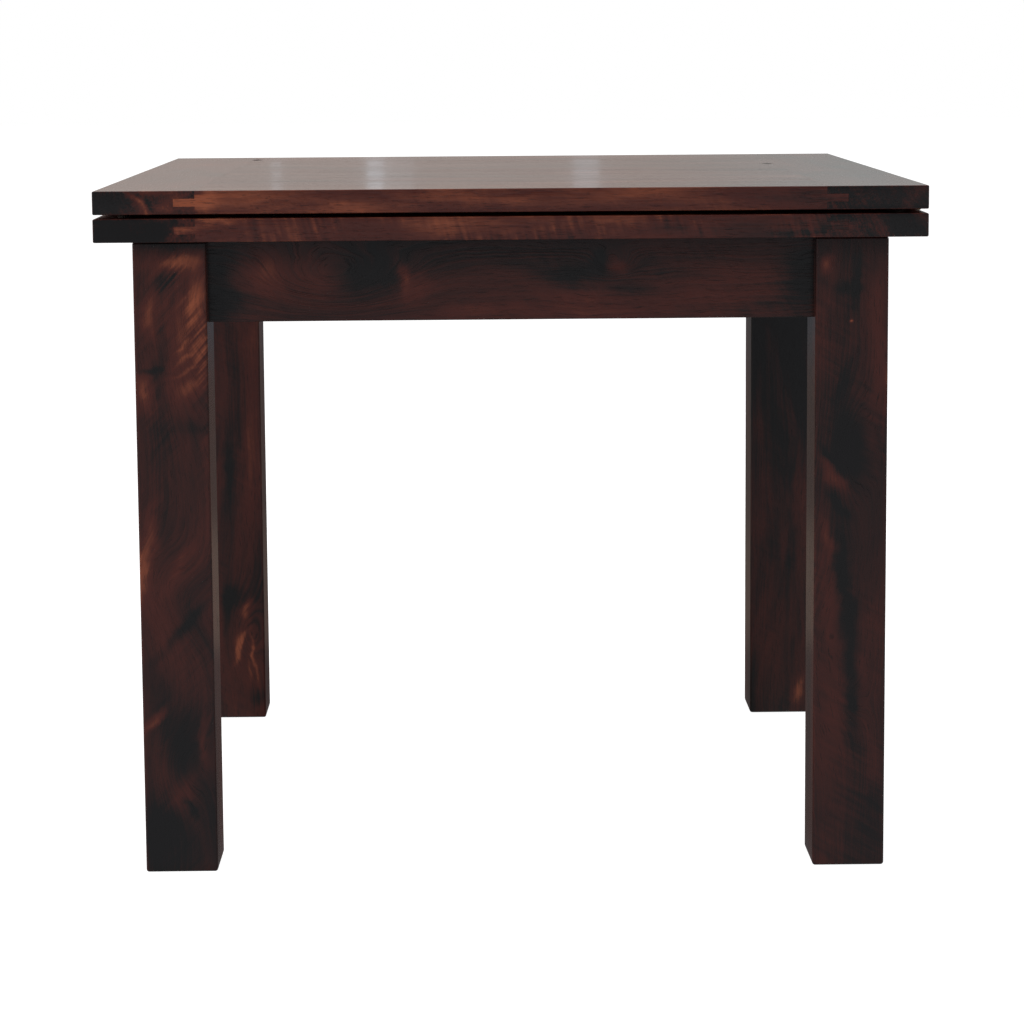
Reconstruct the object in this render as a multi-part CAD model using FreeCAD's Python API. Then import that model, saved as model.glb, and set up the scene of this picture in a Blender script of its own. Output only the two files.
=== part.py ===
import FreeCAD, Part
import math
import os

# Fold-over extension table. Two equal leaves lie one on the other and open like a book about the
# right edge. Before it is opened, the whole top slides half its length to the left on guide rails,
# so that the opened top is centred on the base and the turned leaf rests on the frame.
# Millimetres. The origin is on the floor under the middle of the closed top, +X points to the
# hinged edge, -Y is the front and +Z is up.

# Leaves: planks along X, held flat by a grooved cross board at each end
LEAF_LENGTH = 900.0
LEAF_WIDTH = 900.0
LEAF_THICKNESS = 25.5
LEAF_EDGE_RADIUS = 1.5
PLANK_COUNT = 6
CROSS_BOARD_WIDTH = 110.0
TONGUE_LENGTH = 23.0
TONGUE_THICKNESS = 8.5
TONGUE_FIT = 0.1

# Legs and aprons
TOP_OVERHANG = 37.5
LEG_SIZE = 80.0
LEG_LENGTH = 705.0
LEG_EDGE_RADIUS = 2.0
LEG_CHAMFER = 24.0
APRON_HEIGHT = 90.0
APRON_THICKNESS = 22.0
APRON_SETBACK = 20.0
APRON_EDGE_RADIUS = 1.5

# Corner blocks, which pull each leg against the ends of two aprons
BLOCK_HEIGHT = 60.0
BLOCK_THICKNESS = 28.0
BLOCK_GAP = 2.0
BOLT_RADIUS = 4.0
BOLT_SPACING = 30.0
BOLT_IN_LEG = 50.0
BOLT_STICK_OUT = 4.0
BOLT_HOLE_ROOM = 0.5
WASHER_RADIUS = 10.0
WASHER_THICKNESS = 2.0
NUT_ACROSS_FLATS = 13.0
NUT_SIDES = 6
NUT_THICKNESS = 6.5
BLOCK_SCREW_SPACING = 36.0
BLOCK_SCREW_LENGTH = 28.0
BLOCK_SCREW_HEAD_RADIUS = 4.2
BLOCK_SCREW_SHANK_RADIUS = 2.2
BLOCK_SCREW_WOOD = 14.0

# Felt under the sliding leaf
FELT_THICKNESS = 1.5
FELT_STRIP_WIDTH = 16.0
FELT_STRIP_INSET = 10.0
LEG_FELT_INSET = 12.0

# Guide rails in the frame and runners under the lower leaf
RAIL_INSET = 165.5
RAIL_WIDTH = 25.0
RAIL_HEIGHT = 40.0
RAIL_DROP = 3.0
RAIL_HOUSING = 8.0
HOUSING_FIT = 0.1
GROOVE_DEPTH = 10.0
GROOVE_HEIGHT = 12.0
GROOVE_FIT = 0.5
RUNNER_WIDTH = 28.0
RUNNER_HEIGHT = 42.0
RUNNER_GAP = 1.0
RUNNER_STOP_GAP = 0.5
RUNNER_SCREW_COUNT = 3
RUNNER_SCREW_INSET = 45.0
RUNNER_SCREW_LENGTH = 50.0
RUNNER_SCREW_HEAD_RADIUS = 4.8
RUNNER_SCREW_SHANK_RADIUS = 2.5
RUNNER_SCREW_WOOD = 14.0

# Butt hinges let into the facing sides of the two leaves
HINGE_INSET = 120.0
HINGE_LENGTH = 80.0
HINGE_PLATE_WIDTH = 25.0
HINGE_PLATE_THICKNESS = 1.5
BARREL_RADIUS = 3.75
PIN_RADIUS = 2.0
PIN_FIT = 0.05
PIN_INSET = 0.5
KNUCKLE_COUNT = 5
KNUCKLE_GAP = 0.3
BARREL_ROOM = 0.5
RECESS_FIT = 0.1
LEAF_EDGE_GAP = 0.5
HINGE_SCREW_COUNT = 3
HINGE_SCREW_INSET = 13.0
HINGE_SCREW_LENGTH = 16.0
HINGE_SCREW_HEAD_RADIUS = 3.2
HINGE_SCREW_SHANK_RADIUS = 1.75

# Felt dots that keep the closed leaves apart at the free edge
BUMPER_RADIUS = 6.0
BUMPER_INSET = 30.0
BUMPER_PLAY = 0.1

# Room round every screw in its own hole, and round a sunk head
SCREW_FIT = 0.05
SUNK_HEAD_ROOM = 0.3

# Places worked out from the sizes above
ROOT_TWO = math.sqrt(2)
BASE_HALF_X = LEAF_LENGTH / 2 - TOP_OVERHANG
BASE_HALF_Y = LEAF_WIDTH / 2 - TOP_OVERHANG
LEG_INNER_X = BASE_HALF_X - LEG_SIZE
LEG_INNER_Y = BASE_HALF_Y - LEG_SIZE
APRON_OUTER_X = BASE_HALF_X - APRON_SETBACK
APRON_OUTER_Y = BASE_HALF_Y - APRON_SETBACK
APRON_INNER_X = APRON_OUTER_X - APRON_THICKNESS
APRON_INNER_Y = APRON_OUTER_Y - APRON_THICKNESS
APRON_BOTTOM = LEG_LENGTH - APRON_HEIGHT
LEAF_GAP = 2 * (BARREL_RADIUS - HINGE_PLATE_THICKNESS)
LOWER_LEAF_BOTTOM = LEG_LENGTH + FELT_THICKNESS
LOWER_LEAF_TOP = LOWER_LEAF_BOTTOM + LEAF_THICKNESS
UPPER_LEAF_BOTTOM = LOWER_LEAF_TOP + LEAF_GAP
HINGE_AXIS_X = LEAF_LENGTH / 2 + LEAF_EDGE_GAP
HINGE_AXIS_Z = LOWER_LEAF_TOP + LEAF_GAP / 2
SLIDE_TRAVEL = HINGE_AXIS_X
SHOULDER_X = LEAF_LENGTH / 2 - CROSS_BOARD_WIDTH
RAIL_TOP = LEG_LENGTH - RAIL_DROP
GROOVE_MIDDLE = RAIL_TOP - RAIL_HEIGHT / 2
RAIL_INNER_Y = APRON_INNER_Y - RAIL_INSET - RAIL_WIDTH
RUNNER_OUTER_Y = RAIL_INNER_Y - RUNNER_GAP
RUNNER_LENGTH = 2 * (APRON_INNER_X - RUNNER_STOP_GAP) - SLIDE_TRAVEL
BLOCK_MIDDLE = LEG_LENGTH - APRON_HEIGHT / 2

CORNERS = {"front_left": (-1, -1), "front_right": (1, -1), "rear_left": (-1, 1), "rear_right": (1, 1)}
OUTER_HINGE_Y = LEAF_WIDTH / 2 - HINGE_INSET
HINGES = {"front": -OUTER_HINGE_Y, "middle": 0.0, "rear": OUTER_HINGE_Y}


def box(x, y, z):
    """A box between two limits on each axis."""
    low = FreeCAD.Vector(min(x), min(y), min(z))
    high = FreeCAD.Vector(max(x), max(y), max(z))
    size = high - low
    return Part.makeBox(size.x, size.y, size.z, low)


def prism(points, bottom, top):
    """An upright prism on a plan outline."""
    corners = [FreeCAD.Vector(x, y, bottom) for x, y in points]
    outline = Part.makePolygon(corners + corners[:1])
    return Part.Face(outline).extrude(FreeCAD.Vector(0, 0, top - bottom))


def lathe(profile):
    """A turned solid about Z from a closed outline of radius and height."""
    corners = [FreeCAD.Vector(radius, 0, height) for radius, height in profile]
    outline = Part.makePolygon(corners + corners[:1])
    return Part.Face(outline).revolve(FreeCAD.Vector(0, 0, 0), FreeCAD.Vector(0, 0, 1), 360)


def rod(radius, length):
    """A round bar along +Z from the origin."""
    return Part.makeCylinder(radius, length)


def pointing(shape, place, direction):
    """A shape made along +Z, turned to run from a place along a direction."""
    turn = FreeCAD.Rotation(FreeCAD.Vector(0, 0, 1), FreeCAD.Vector(*direction))
    moved = shape.copy()
    moved.Placement = FreeCAD.Placement(FreeCAD.Vector(*place), turn)
    return moved


def moved_to(shape, place):
    """A copy of a shape, shifted to a place."""
    moved = shape.copy()
    moved.translate(FreeCAD.Vector(*place))
    return moved


def mirrored(shape, side_x, side_y):
    """A shape of the +X +Y corner, mirrored to the corner with these signs."""
    middle = FreeCAD.Vector(0, 0, 0)
    if side_x < 0:
        shape = shape.mirror(middle, FreeCAD.Vector(1, 0, 0))
    if side_y < 0:
        shape = shape.mirror(middle, FreeCAD.Vector(0, 1, 0))
    return shape


def eased(shape, radius, chosen):
    """A shape with the edges that a test chooses rounded over."""
    return shape.makeFillet(radius, [edge for edge in shape.Edges if chosen(edge)])


def screw(head_radius, shank_radius, length, room=0.0):
    """A countersunk wood screw along +Z, its head at the origin, or its hole where it has room."""
    head_height = head_radius - shank_radius
    tip_length = 2 * shank_radius
    tip_room = room * tip_length / shank_radius
    return lathe([
        (0, 0), (head_radius + room, 0), (shank_radius + room, head_height),
        (shank_radius + room, length - tip_length), (0, length + tip_room),
    ])


def evenly(count, half_span):
    """Places spread evenly about zero, the outer two at plus and minus the half span."""
    step = 2 * half_span / (count - 1)
    return [index * step - half_span for index in range(count)]


# Corner blocks, in the +X +Y corner: places along the diagonal are sums of X and Y, counted from
# the leg's inner corner, which a chamfer cuts back to make a flat seat for the bolts

BLOCK_REACH = LEG_SIZE - APRON_SETBACK - APRON_THICKNESS
BLOCK_OUTER_SUM = LEG_CHAMFER - BLOCK_GAP * ROOT_TWO
BLOCK_INNER_SUM = BLOCK_OUTER_SUM - BLOCK_THICKNESS * ROOT_TWO
INWARD = (-1 / ROOT_TWO, -1 / ROOT_TWO, 0)


def diagonal_point(total, height):
    """The point on a corner's diagonal where X and Y add up to a total."""
    return (LEG_INNER_X + total / 2, LEG_INNER_Y + total / 2, height)


def bolt_heights():
    return [BLOCK_MIDDLE - BOLT_SPACING / 2, BLOCK_MIDDLE + BOLT_SPACING / 2]


def bolt_at(height, room=0.0):
    """A hanger bolt, or its hole, from inside the leg through the block and the nut."""
    past_block = WASHER_THICKNESS + NUT_THICKNESS + BOLT_STICK_OUT
    length = BOLT_IN_LEG + BLOCK_GAP + BLOCK_THICKNESS + past_block
    start = diagonal_point(LEG_CHAMFER + BOLT_IN_LEG * ROOT_TWO, height)
    return pointing(rod(BOLT_RADIUS + room, length), start, INWARD)


def washer_at(height):
    ring = rod(WASHER_RADIUS, WASHER_THICKNESS).cut(rod(BOLT_RADIUS + BOLT_HOLE_ROOM, WASHER_THICKNESS))
    return pointing(ring, diagonal_point(BLOCK_INNER_SUM, height), INWARD)


def nut_at(height):
    corner_radius = NUT_ACROSS_FLATS / 2 / math.cos(math.pi / NUT_SIDES)
    angles = [index * 2 * math.pi / NUT_SIDES for index in range(NUT_SIDES)]
    hexagon = [(corner_radius * math.cos(angle), corner_radius * math.sin(angle)) for angle in angles]
    nut = prism(hexagon, 0, NUT_THICKNESS).cut(rod(BOLT_RADIUS + SCREW_FIT, NUT_THICKNESS))
    return pointing(nut, diagonal_point(BLOCK_INNER_SUM - WASHER_THICKNESS * ROOT_TWO, height), INWARD)


def block_screw_places():
    """Head place and direction of the screws that fix one corner block to its two aprons."""
    middle_sum = (BLOCK_INNER_SUM + BLOCK_OUTER_SUM) / 2
    across = middle_sum - BLOCK_REACH
    head = BLOCK_REACH - (BLOCK_SCREW_LENGTH - BLOCK_SCREW_WOOD)
    places = []
    for height in (BLOCK_MIDDLE - BLOCK_SCREW_SPACING / 2, BLOCK_MIDDLE + BLOCK_SCREW_SPACING / 2):
        places.append(((LEG_INNER_X + across, LEG_INNER_Y + head, height), (0, 1, 0)))
        places.append(((LEG_INNER_X + head, LEG_INNER_Y + across, height), (1, 0, 0)))
    return places


def block_screw(room=0.0):
    return screw(BLOCK_SCREW_HEAD_RADIUS, BLOCK_SCREW_SHANK_RADIUS, BLOCK_SCREW_LENGTH, room)


def block_screw_holes():
    """Holes for the block screws, each with a sinking that lets its head go below the slanted face."""
    holes = []
    for place, direction in block_screw_places():
        holes.append(pointing(block_screw(SCREW_FIT), place, direction))
        sinking = rod(BLOCK_SCREW_HEAD_RADIUS + SUNK_HEAD_ROOM, BLOCK_THICKNESS * ROOT_TWO)
        holes.append(pointing(sinking, place, [-part for part in direction]))
    return holes


def corner_block():
    """A thick block across the corner, its ends flat on the aprons."""
    plan = [
        (LEG_INNER_X + BLOCK_INNER_SUM - BLOCK_REACH, APRON_INNER_Y),
        (LEG_INNER_X + BLOCK_OUTER_SUM - BLOCK_REACH, APRON_INNER_Y),
        (APRON_INNER_X, LEG_INNER_Y + BLOCK_OUTER_SUM - BLOCK_REACH),
        (APRON_INNER_X, LEG_INNER_Y + BLOCK_INNER_SUM - BLOCK_REACH),
    ]
    block = prism(plan, BLOCK_MIDDLE - BLOCK_HEIGHT / 2, BLOCK_MIDDLE + BLOCK_HEIGHT / 2)
    return block.cut([bolt_at(height, BOLT_HOLE_ROOM) for height in bolt_heights()] + block_screw_holes())


# Legs and aprons

def leg():
    """A square leg with eased arrises, chamfered at its inner corner behind the aprons."""
    post = box((LEG_INNER_X, BASE_HALF_X), (LEG_INNER_Y, BASE_HALF_Y), (0, LEG_LENGTH))
    post = post.makeFillet(LEG_EDGE_RADIUS, post.Edges)
    corner = [
        (LEG_INNER_X, LEG_INNER_Y),
        (LEG_INNER_X + LEG_CHAMFER, LEG_INNER_Y),
        (LEG_INNER_X, LEG_INNER_Y + LEG_CHAMFER),
    ]
    bolt_holes = [bolt_at(height, SCREW_FIT) for height in bolt_heights()]
    return post.cut([prism(corner, APRON_BOTTOM, LEG_LENGTH)] + bolt_holes)


def is_long(edge, length):
    """Whether an edge runs the whole length of a board."""
    return edge.Length > length - 1


def rail_limits(side):
    """Where a guide rail lies across the table and in height."""
    inner = side * RAIL_INNER_Y
    return (inner, inner + side * RAIL_WIDTH), (RAIL_TOP - RAIL_HEIGHT, RAIL_TOP)


def grown(limits, room):
    return (min(limits) - room, max(limits) + room)


def front_and_rear_aprons():
    """Aprons along X, butted against the legs; returns the front and the rear one."""
    board = box((-LEG_INNER_X, LEG_INNER_X), (APRON_INNER_Y, APRON_OUTER_Y), (APRON_BOTTOM, LEG_LENGTH))
    board = eased(board, APRON_EDGE_RADIUS, lambda edge: is_long(edge, 2 * LEG_INNER_X))
    holes = block_screw_holes()
    rear = board.cut([mirrored(hole, side, 1) for side in (-1, 1) for hole in holes])
    return mirrored(rear, 1, -1), rear


def left_and_right_aprons():
    """Aprons along Y, butted against the legs and housed for the guide rails; returns both."""
    board = box((APRON_INNER_X, APRON_OUTER_X), (-LEG_INNER_Y, LEG_INNER_Y), (APRON_BOTTOM, LEG_LENGTH))
    board = eased(board, APRON_EDGE_RADIUS, lambda edge: is_long(edge, 2 * LEG_INNER_Y))
    cuts = [mirrored(hole, 1, side) for side in (-1, 1) for hole in block_screw_holes()]
    for side in (-1, 1):
        across, height = rail_limits(side)
        housing = (APRON_INNER_X - RAIL_HOUSING, APRON_INNER_X + RAIL_HOUSING)
        cuts.append(box(housing, grown(across, HOUSING_FIT), grown(height, HOUSING_FIT)))
    right = board.cut(cuts)
    return mirrored(right, -1, 1), right


# Felts on the frame

def felt_strip(side):
    """A strip along the top of the front or rear apron."""
    middle = side * (APRON_INNER_Y + APRON_OUTER_Y) / 2
    half_length = LEG_INNER_X - FELT_STRIP_INSET
    across = (middle - FELT_STRIP_WIDTH / 2, middle + FELT_STRIP_WIDTH / 2)
    return box((-half_length, half_length), across, (LEG_LENGTH, LOWER_LEAF_BOTTOM))


def leg_felt():
    """A square pad on the end of a leg, cut back at the corner where the leg is chamfered."""
    pad = box(
        (LEG_INNER_X + LEG_FELT_INSET, BASE_HALF_X - LEG_FELT_INSET),
        (LEG_INNER_Y + LEG_FELT_INSET, BASE_HALF_Y - LEG_FELT_INSET),
        (LEG_LENGTH, LOWER_LEAF_BOTTOM),
    )
    reach = LEG_CHAMFER + LEG_FELT_INSET
    corner = [
        (LEG_INNER_X, LEG_INNER_Y),
        (LEG_INNER_X + reach, LEG_INNER_Y),
        (LEG_INNER_X, LEG_INNER_Y + reach),
    ]
    return pad.cut(prism(corner, LEG_LENGTH, LOWER_LEAF_BOTTOM))


# Guide rails and runners

def guide_rail(side):
    """A rail from apron to apron, grooved along its inner side."""
    across, height = rail_limits(side)
    half_length = APRON_INNER_X + RAIL_HOUSING - HOUSING_FIT
    rail = box((-half_length, half_length), across, height)
    inner = side * RAIL_INNER_Y
    groove_height = (GROOVE_MIDDLE - GROOVE_HEIGHT / 2, GROOVE_MIDDLE + GROOVE_HEIGHT / 2)
    return rail.cut(box((-half_length, half_length), (inner, inner + side * GROOVE_DEPTH), groove_height))


def runner_limits():
    """Where the runners start and end along the table with the top closed."""
    end = APRON_INNER_X - RUNNER_STOP_GAP
    return end - RUNNER_LENGTH, end


def runner_screw_places(side):
    """Head places of one runner's screws, driven up into the lower leaf."""
    start, end = runner_limits()
    offsets = evenly(RUNNER_SCREW_COUNT, RUNNER_LENGTH / 2 - RUNNER_SCREW_INSET)
    across = side * (RUNNER_OUTER_Y - RUNNER_WIDTH / 2)
    height = LOWER_LEAF_BOTTOM + RUNNER_SCREW_WOOD - RUNNER_SCREW_LENGTH
    return [((start + end) / 2 + offset, across, height) for offset in offsets]


def runner_screw(place, room=0.0):
    shape = screw(RUNNER_SCREW_HEAD_RADIUS, RUNNER_SCREW_SHANK_RADIUS, RUNNER_SCREW_LENGTH, room)
    return moved_to(shape, place)


def runner(side):
    """A bar under the lower leaf with a tongue in the rail's groove; its ends stop the slide."""
    outer = side * RUNNER_OUTER_Y
    bottom = LOWER_LEAF_BOTTOM - RUNNER_HEIGHT
    bar = box(runner_limits(), (outer - side * RUNNER_WIDTH, outer), (bottom, LOWER_LEAF_BOTTOM))
    tongue_end = side * (RAIL_INNER_Y + GROOVE_DEPTH - GROOVE_FIT)
    half_tongue = GROOVE_HEIGHT / 2 - GROOVE_FIT
    tongue_heights = (GROOVE_MIDDLE - half_tongue, GROOVE_MIDDLE + half_tongue)
    tongue = box(runner_limits(), (outer, tongue_end), tongue_heights)
    cuts = []
    for place in runner_screw_places(side):
        cuts.append(runner_screw(place, SCREW_FIT))
        sinking = rod(RUNNER_SCREW_HEAD_RADIUS + SUNK_HEAD_ROOM, RUNNER_HEIGHT)
        cuts.append(pointing(sinking, place, (0, 0, -1)))
    return bar.fuse(tongue).removeSplitter().cut(cuts)


# Hinges, made about their own axis: the leaf lies towards -X, and the lower plate under the axis

PLATE_EDGE = BARREL_RADIUS + BARREL_ROOM
PLATE_LIMITS = (-PLATE_EDGE - HINGE_PLATE_WIDTH, -PLATE_EDGE)
PLATE_HEIGHT = (-BARREL_RADIUS, HINGE_PLATE_THICKNESS - BARREL_RADIUS)
HINGE_HALF = HINGE_LENGTH / 2


def along_hinge(radius, start, end):
    """A round bar on the hinge's axis."""
    return pointing(rod(radius, end - start), (0, start, 0), (0, 1, 0))


def hinge_screw_places():
    middle = sum(PLATE_LIMITS) / 2
    offsets = evenly(HINGE_SCREW_COUNT, HINGE_HALF - HINGE_SCREW_INSET)
    return [(middle, offset, max(PLATE_HEIGHT)) for offset in offsets]


def hinge_screws(room=0.0):
    """The screws of one lower plate, or their holes."""
    shape = screw(HINGE_SCREW_HEAD_RADIUS, HINGE_SCREW_SHANK_RADIUS, HINGE_SCREW_LENGTH, room)
    return [pointing(shape, place, (0, 0, -1)) for place in hinge_screw_places()]


def hinge_plate(first_knuckle):
    """A plate under the axis with every second knuckle, starting from the one given."""
    pitch = HINGE_LENGTH / KNUCKLE_COUNT
    plate = box(PLATE_LIMITS, (-HINGE_HALF, HINGE_HALF), PLATE_HEIGHT)
    pieces = []
    for index in range(first_knuckle, KNUCKLE_COUNT, 2):
        start = index * pitch - HINGE_HALF + KNUCKLE_GAP / 2
        end = start + pitch - KNUCKLE_GAP
        pieces.append(along_hinge(BARREL_RADIUS, start, end))
        pieces.append(box((-PLATE_EDGE, 0), (start, end), PLATE_HEIGHT))
    bore = along_hinge(PIN_RADIUS + PIN_FIT, -HINGE_HALF, HINGE_HALF)
    return plate.fuse(pieces).removeSplitter().cut([bore] + hinge_screws(SCREW_FIT))


def hinge_pin():
    return along_hinge(PIN_RADIUS, PIN_INSET - HINGE_HALF, HINGE_HALF - PIN_INSET)


def hinge_room():
    """What is cut from the lower leaf for one hinge: the plate's recess, the barrel and the screws."""
    recess = box(
        (min(PLATE_LIMITS) - RECESS_FIT, PLATE_EDGE),
        (-HINGE_HALF - RECESS_FIT, HINGE_HALF + RECESS_FIT),
        (min(PLATE_HEIGHT), BARREL_RADIUS),
    )
    barrel = along_hinge(BARREL_RADIUS + BARREL_ROOM, -HINGE_HALF - BARREL_ROOM, HINGE_HALF + BARREL_ROOM)
    return [recess, barrel] + hinge_screws(SCREW_FIT)


def on_lower_leaf(shape, across):
    return moved_to(shape, (HINGE_AXIS_X, across, HINGE_AXIS_Z))


def on_upper_leaf(shape, across):
    flipped = shape.mirror(FreeCAD.Vector(0, 0, 0), FreeCAD.Vector(0, 0, 1))
    return moved_to(flipped, (HINGE_AXIS_X, across, HINGE_AXIS_Z))


# Leaves

def leaf_blank(bottom):
    """The outside of a leaf, all its edges eased, from which its boards are cut."""
    half_length = LEAF_LENGTH / 2
    half_width = LEAF_WIDTH / 2
    blank = box((-half_length, half_length), (-half_width, half_width), (bottom, bottom + LEAF_THICKNESS))
    return blank.makeFillet(LEAF_EDGE_RADIUS, blank.Edges)


def tongue_height(bottom, room):
    middle = bottom + LEAF_THICKNESS / 2
    half = TONGUE_THICKNESS / 2 + room
    return (middle - half, middle + half)


def cross_board(bottom, side):
    """The board across one end of a leaf, grooved along its inner edge."""
    whole_width = (-LEAF_WIDTH / 2, LEAF_WIDTH / 2)
    end = box((side * SHOULDER_X, side * LEAF_LENGTH / 2), whole_width, (bottom, bottom + LEAF_THICKNESS))
    groove_limits = (side * SHOULDER_X, side * (SHOULDER_X + TONGUE_LENGTH + TONGUE_FIT))
    groove = box(groove_limits, whole_width, tongue_height(bottom, TONGUE_FIT))
    return leaf_blank(bottom).common(end).cut(groove)


def plank(bottom, index):
    """One plank of a leaf, counted from the front, with a tongue at each end."""
    width = LEAF_WIDTH / PLANK_COUNT
    start = index * width - LEAF_WIDTH / 2
    across = (start, start + width)
    body = box((-SHOULDER_X, SHOULDER_X), across, (bottom, bottom + LEAF_THICKNESS))
    reach = SHOULDER_X + TONGUE_LENGTH
    tongues = box((-reach, reach), across, tongue_height(bottom, 0))
    return leaf_blank(bottom).common(body.fuse(tongues).removeSplitter())


def bumper(side):
    """A felt dot near a corner of the lower leaf's free edge."""
    place = (BUMPER_INSET - LEAF_LENGTH / 2, side * (LEAF_WIDTH / 2 - BUMPER_INSET), LOWER_LEAF_TOP)
    return moved_to(rod(BUMPER_RADIUS, LEAF_GAP - BUMPER_PLAY), place)


# Assembly: one entry for each piece, under its own name

pieces = {}

for name, (side_x, side_y) in CORNERS.items():
    pieces[name + "_leg"] = mirrored(leg(), side_x, side_y)
    pieces[name + "_corner_block"] = mirrored(corner_block(), side_x, side_y)

pieces["front_apron"], pieces["rear_apron"] = front_and_rear_aprons()
pieces["left_apron"], pieces["right_apron"] = left_and_right_aprons()


def in_every_corner(shapes):
    """A group of like small pieces, repeated in the four corners."""
    return Part.makeCompound([mirrored(shape, x, y) for x, y in CORNERS.values() for shape in shapes])


pieces["hanger_bolts"] = in_every_corner([bolt_at(height) for height in bolt_heights()])
pieces["hanger_bolt_washers"] = in_every_corner([washer_at(height) for height in bolt_heights()])
pieces["hanger_bolt_nuts"] = in_every_corner([nut_at(height) for height in bolt_heights()])
pieces["corner_block_screws"] = in_every_corner(
    [pointing(block_screw(), place, direction) for place, direction in block_screw_places()])
pieces["leg_top_felts"] = in_every_corner([leg_felt()])

for name, side in (("front", -1), ("rear", 1)):
    pieces[name + "_felt_strip"] = felt_strip(side)
    pieces[name + "_guide_rail"] = guide_rail(side)
    pieces[name + "_runner"] = runner(side)

runner_screw_heads = [place for side in (-1, 1) for place in runner_screw_places(side)]
pieces["runner_screws"] = Part.makeCompound([runner_screw(place) for place in runner_screw_heads])

lower_hinge_room = [on_lower_leaf(cut, across) for across in HINGES.values() for cut in hinge_room()]
upper_hinge_room = [on_upper_leaf(cut, across) for across in HINGES.values() for cut in hinge_room()]
runner_screw_holes = [runner_screw(place, SCREW_FIT) for place in runner_screw_heads]

for name, side in (("left", -1), ("right", 1)):
    lower_board = cross_board(LOWER_LEAF_BOTTOM, side)
    pieces["lower_" + name + "_cross_board"] = lower_board.cut(lower_hinge_room + runner_screw_holes)
    pieces["upper_" + name + "_cross_board"] = cross_board(UPPER_LEAF_BOTTOM, side).cut(upper_hinge_room)
for index in range(PLANK_COUNT):
    pieces["lower_plank_" + str(index + 1)] = plank(LOWER_LEAF_BOTTOM, index).cut(runner_screw_holes)
    pieces["upper_plank_" + str(index + 1)] = plank(UPPER_LEAF_BOTTOM, index)

for name, across in HINGES.items():
    pieces[name + "_hinge_lower_plate"] = on_lower_leaf(hinge_plate(0), across)
    pieces[name + "_hinge_upper_plate"] = on_upper_leaf(hinge_plate(1), across)
    pieces[name + "_hinge_pin"] = on_lower_leaf(hinge_pin(), across)

pieces["lower_hinge_screws"] = Part.makeCompound(
    [on_lower_leaf(shape, across) for across in HINGES.values() for shape in hinge_screws()])
pieces["upper_hinge_screws"] = Part.makeCompound(
    [on_upper_leaf(shape, across) for across in HINGES.values() for shape in hinge_screws()])
pieces["leaf_bumpers"] = Part.makeCompound([bumper(side) for side in (-1, 1)])

os.makedirs("parts", exist_ok=True)
for name, shape in pieces.items():
    shape.exportStep("parts/" + name + ".step")
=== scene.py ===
"""A fold-over extension table in dark-stained wood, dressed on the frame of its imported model."""
import math

import bmesh
import bpy
from mathutils import Matrix, Vector, noise


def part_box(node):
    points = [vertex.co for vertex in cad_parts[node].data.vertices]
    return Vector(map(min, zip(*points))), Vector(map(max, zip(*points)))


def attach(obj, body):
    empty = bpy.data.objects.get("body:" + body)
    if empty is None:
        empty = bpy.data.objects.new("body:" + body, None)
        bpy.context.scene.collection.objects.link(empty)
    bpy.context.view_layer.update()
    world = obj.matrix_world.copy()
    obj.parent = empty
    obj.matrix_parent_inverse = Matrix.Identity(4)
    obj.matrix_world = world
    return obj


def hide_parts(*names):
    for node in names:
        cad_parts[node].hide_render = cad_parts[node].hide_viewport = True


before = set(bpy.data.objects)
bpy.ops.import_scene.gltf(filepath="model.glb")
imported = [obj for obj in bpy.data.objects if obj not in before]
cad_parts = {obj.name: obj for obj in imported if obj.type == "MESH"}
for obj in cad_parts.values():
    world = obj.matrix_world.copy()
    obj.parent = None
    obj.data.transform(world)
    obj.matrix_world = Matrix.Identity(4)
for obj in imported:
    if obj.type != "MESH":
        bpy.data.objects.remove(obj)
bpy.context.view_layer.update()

# Legs: four square posts of solid hardwood, each planed from one thick stick of curly, knotty
# wood, stained nearly black-brown and lacquered. The inner corner is cut off at the top, where the
# bolts of the corner block draw the post against the ends of two aprons.

LEG_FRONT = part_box("front_left_leg")[0].y
REAR_LEG_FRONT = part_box("rear_left_leg")[0].y
RIGHT_LEG_INNER_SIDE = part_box("front_right_leg")[0].x
LEG_CUT_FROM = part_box("front_apron")[0].z
LEG_CORNER_CUT = 0.024
LEG_ARRIS = 0.003
LEG_SCORING = 0.0336
LEG_SWAY = 0.00004
LEG_RUB = 0.0007
FLAT_ANGLE = 0.01
SHARP_ANGLE = 1.0
SHADING_ANGLE = 0.7


def pulled(shape, faces, run):
    """Extrudes faces along a straight run and returns the faces at its end."""
    made = bmesh.ops.extrude_face_region(shape, geom=faces)["geom"]
    corners = [part for part in made if isinstance(part, bmesh.types.BMVert)]
    bmesh.ops.translate(shape, verts=corners, vec=run)
    return [part for part in made if isinstance(part, bmesh.types.BMFace)]


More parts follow.
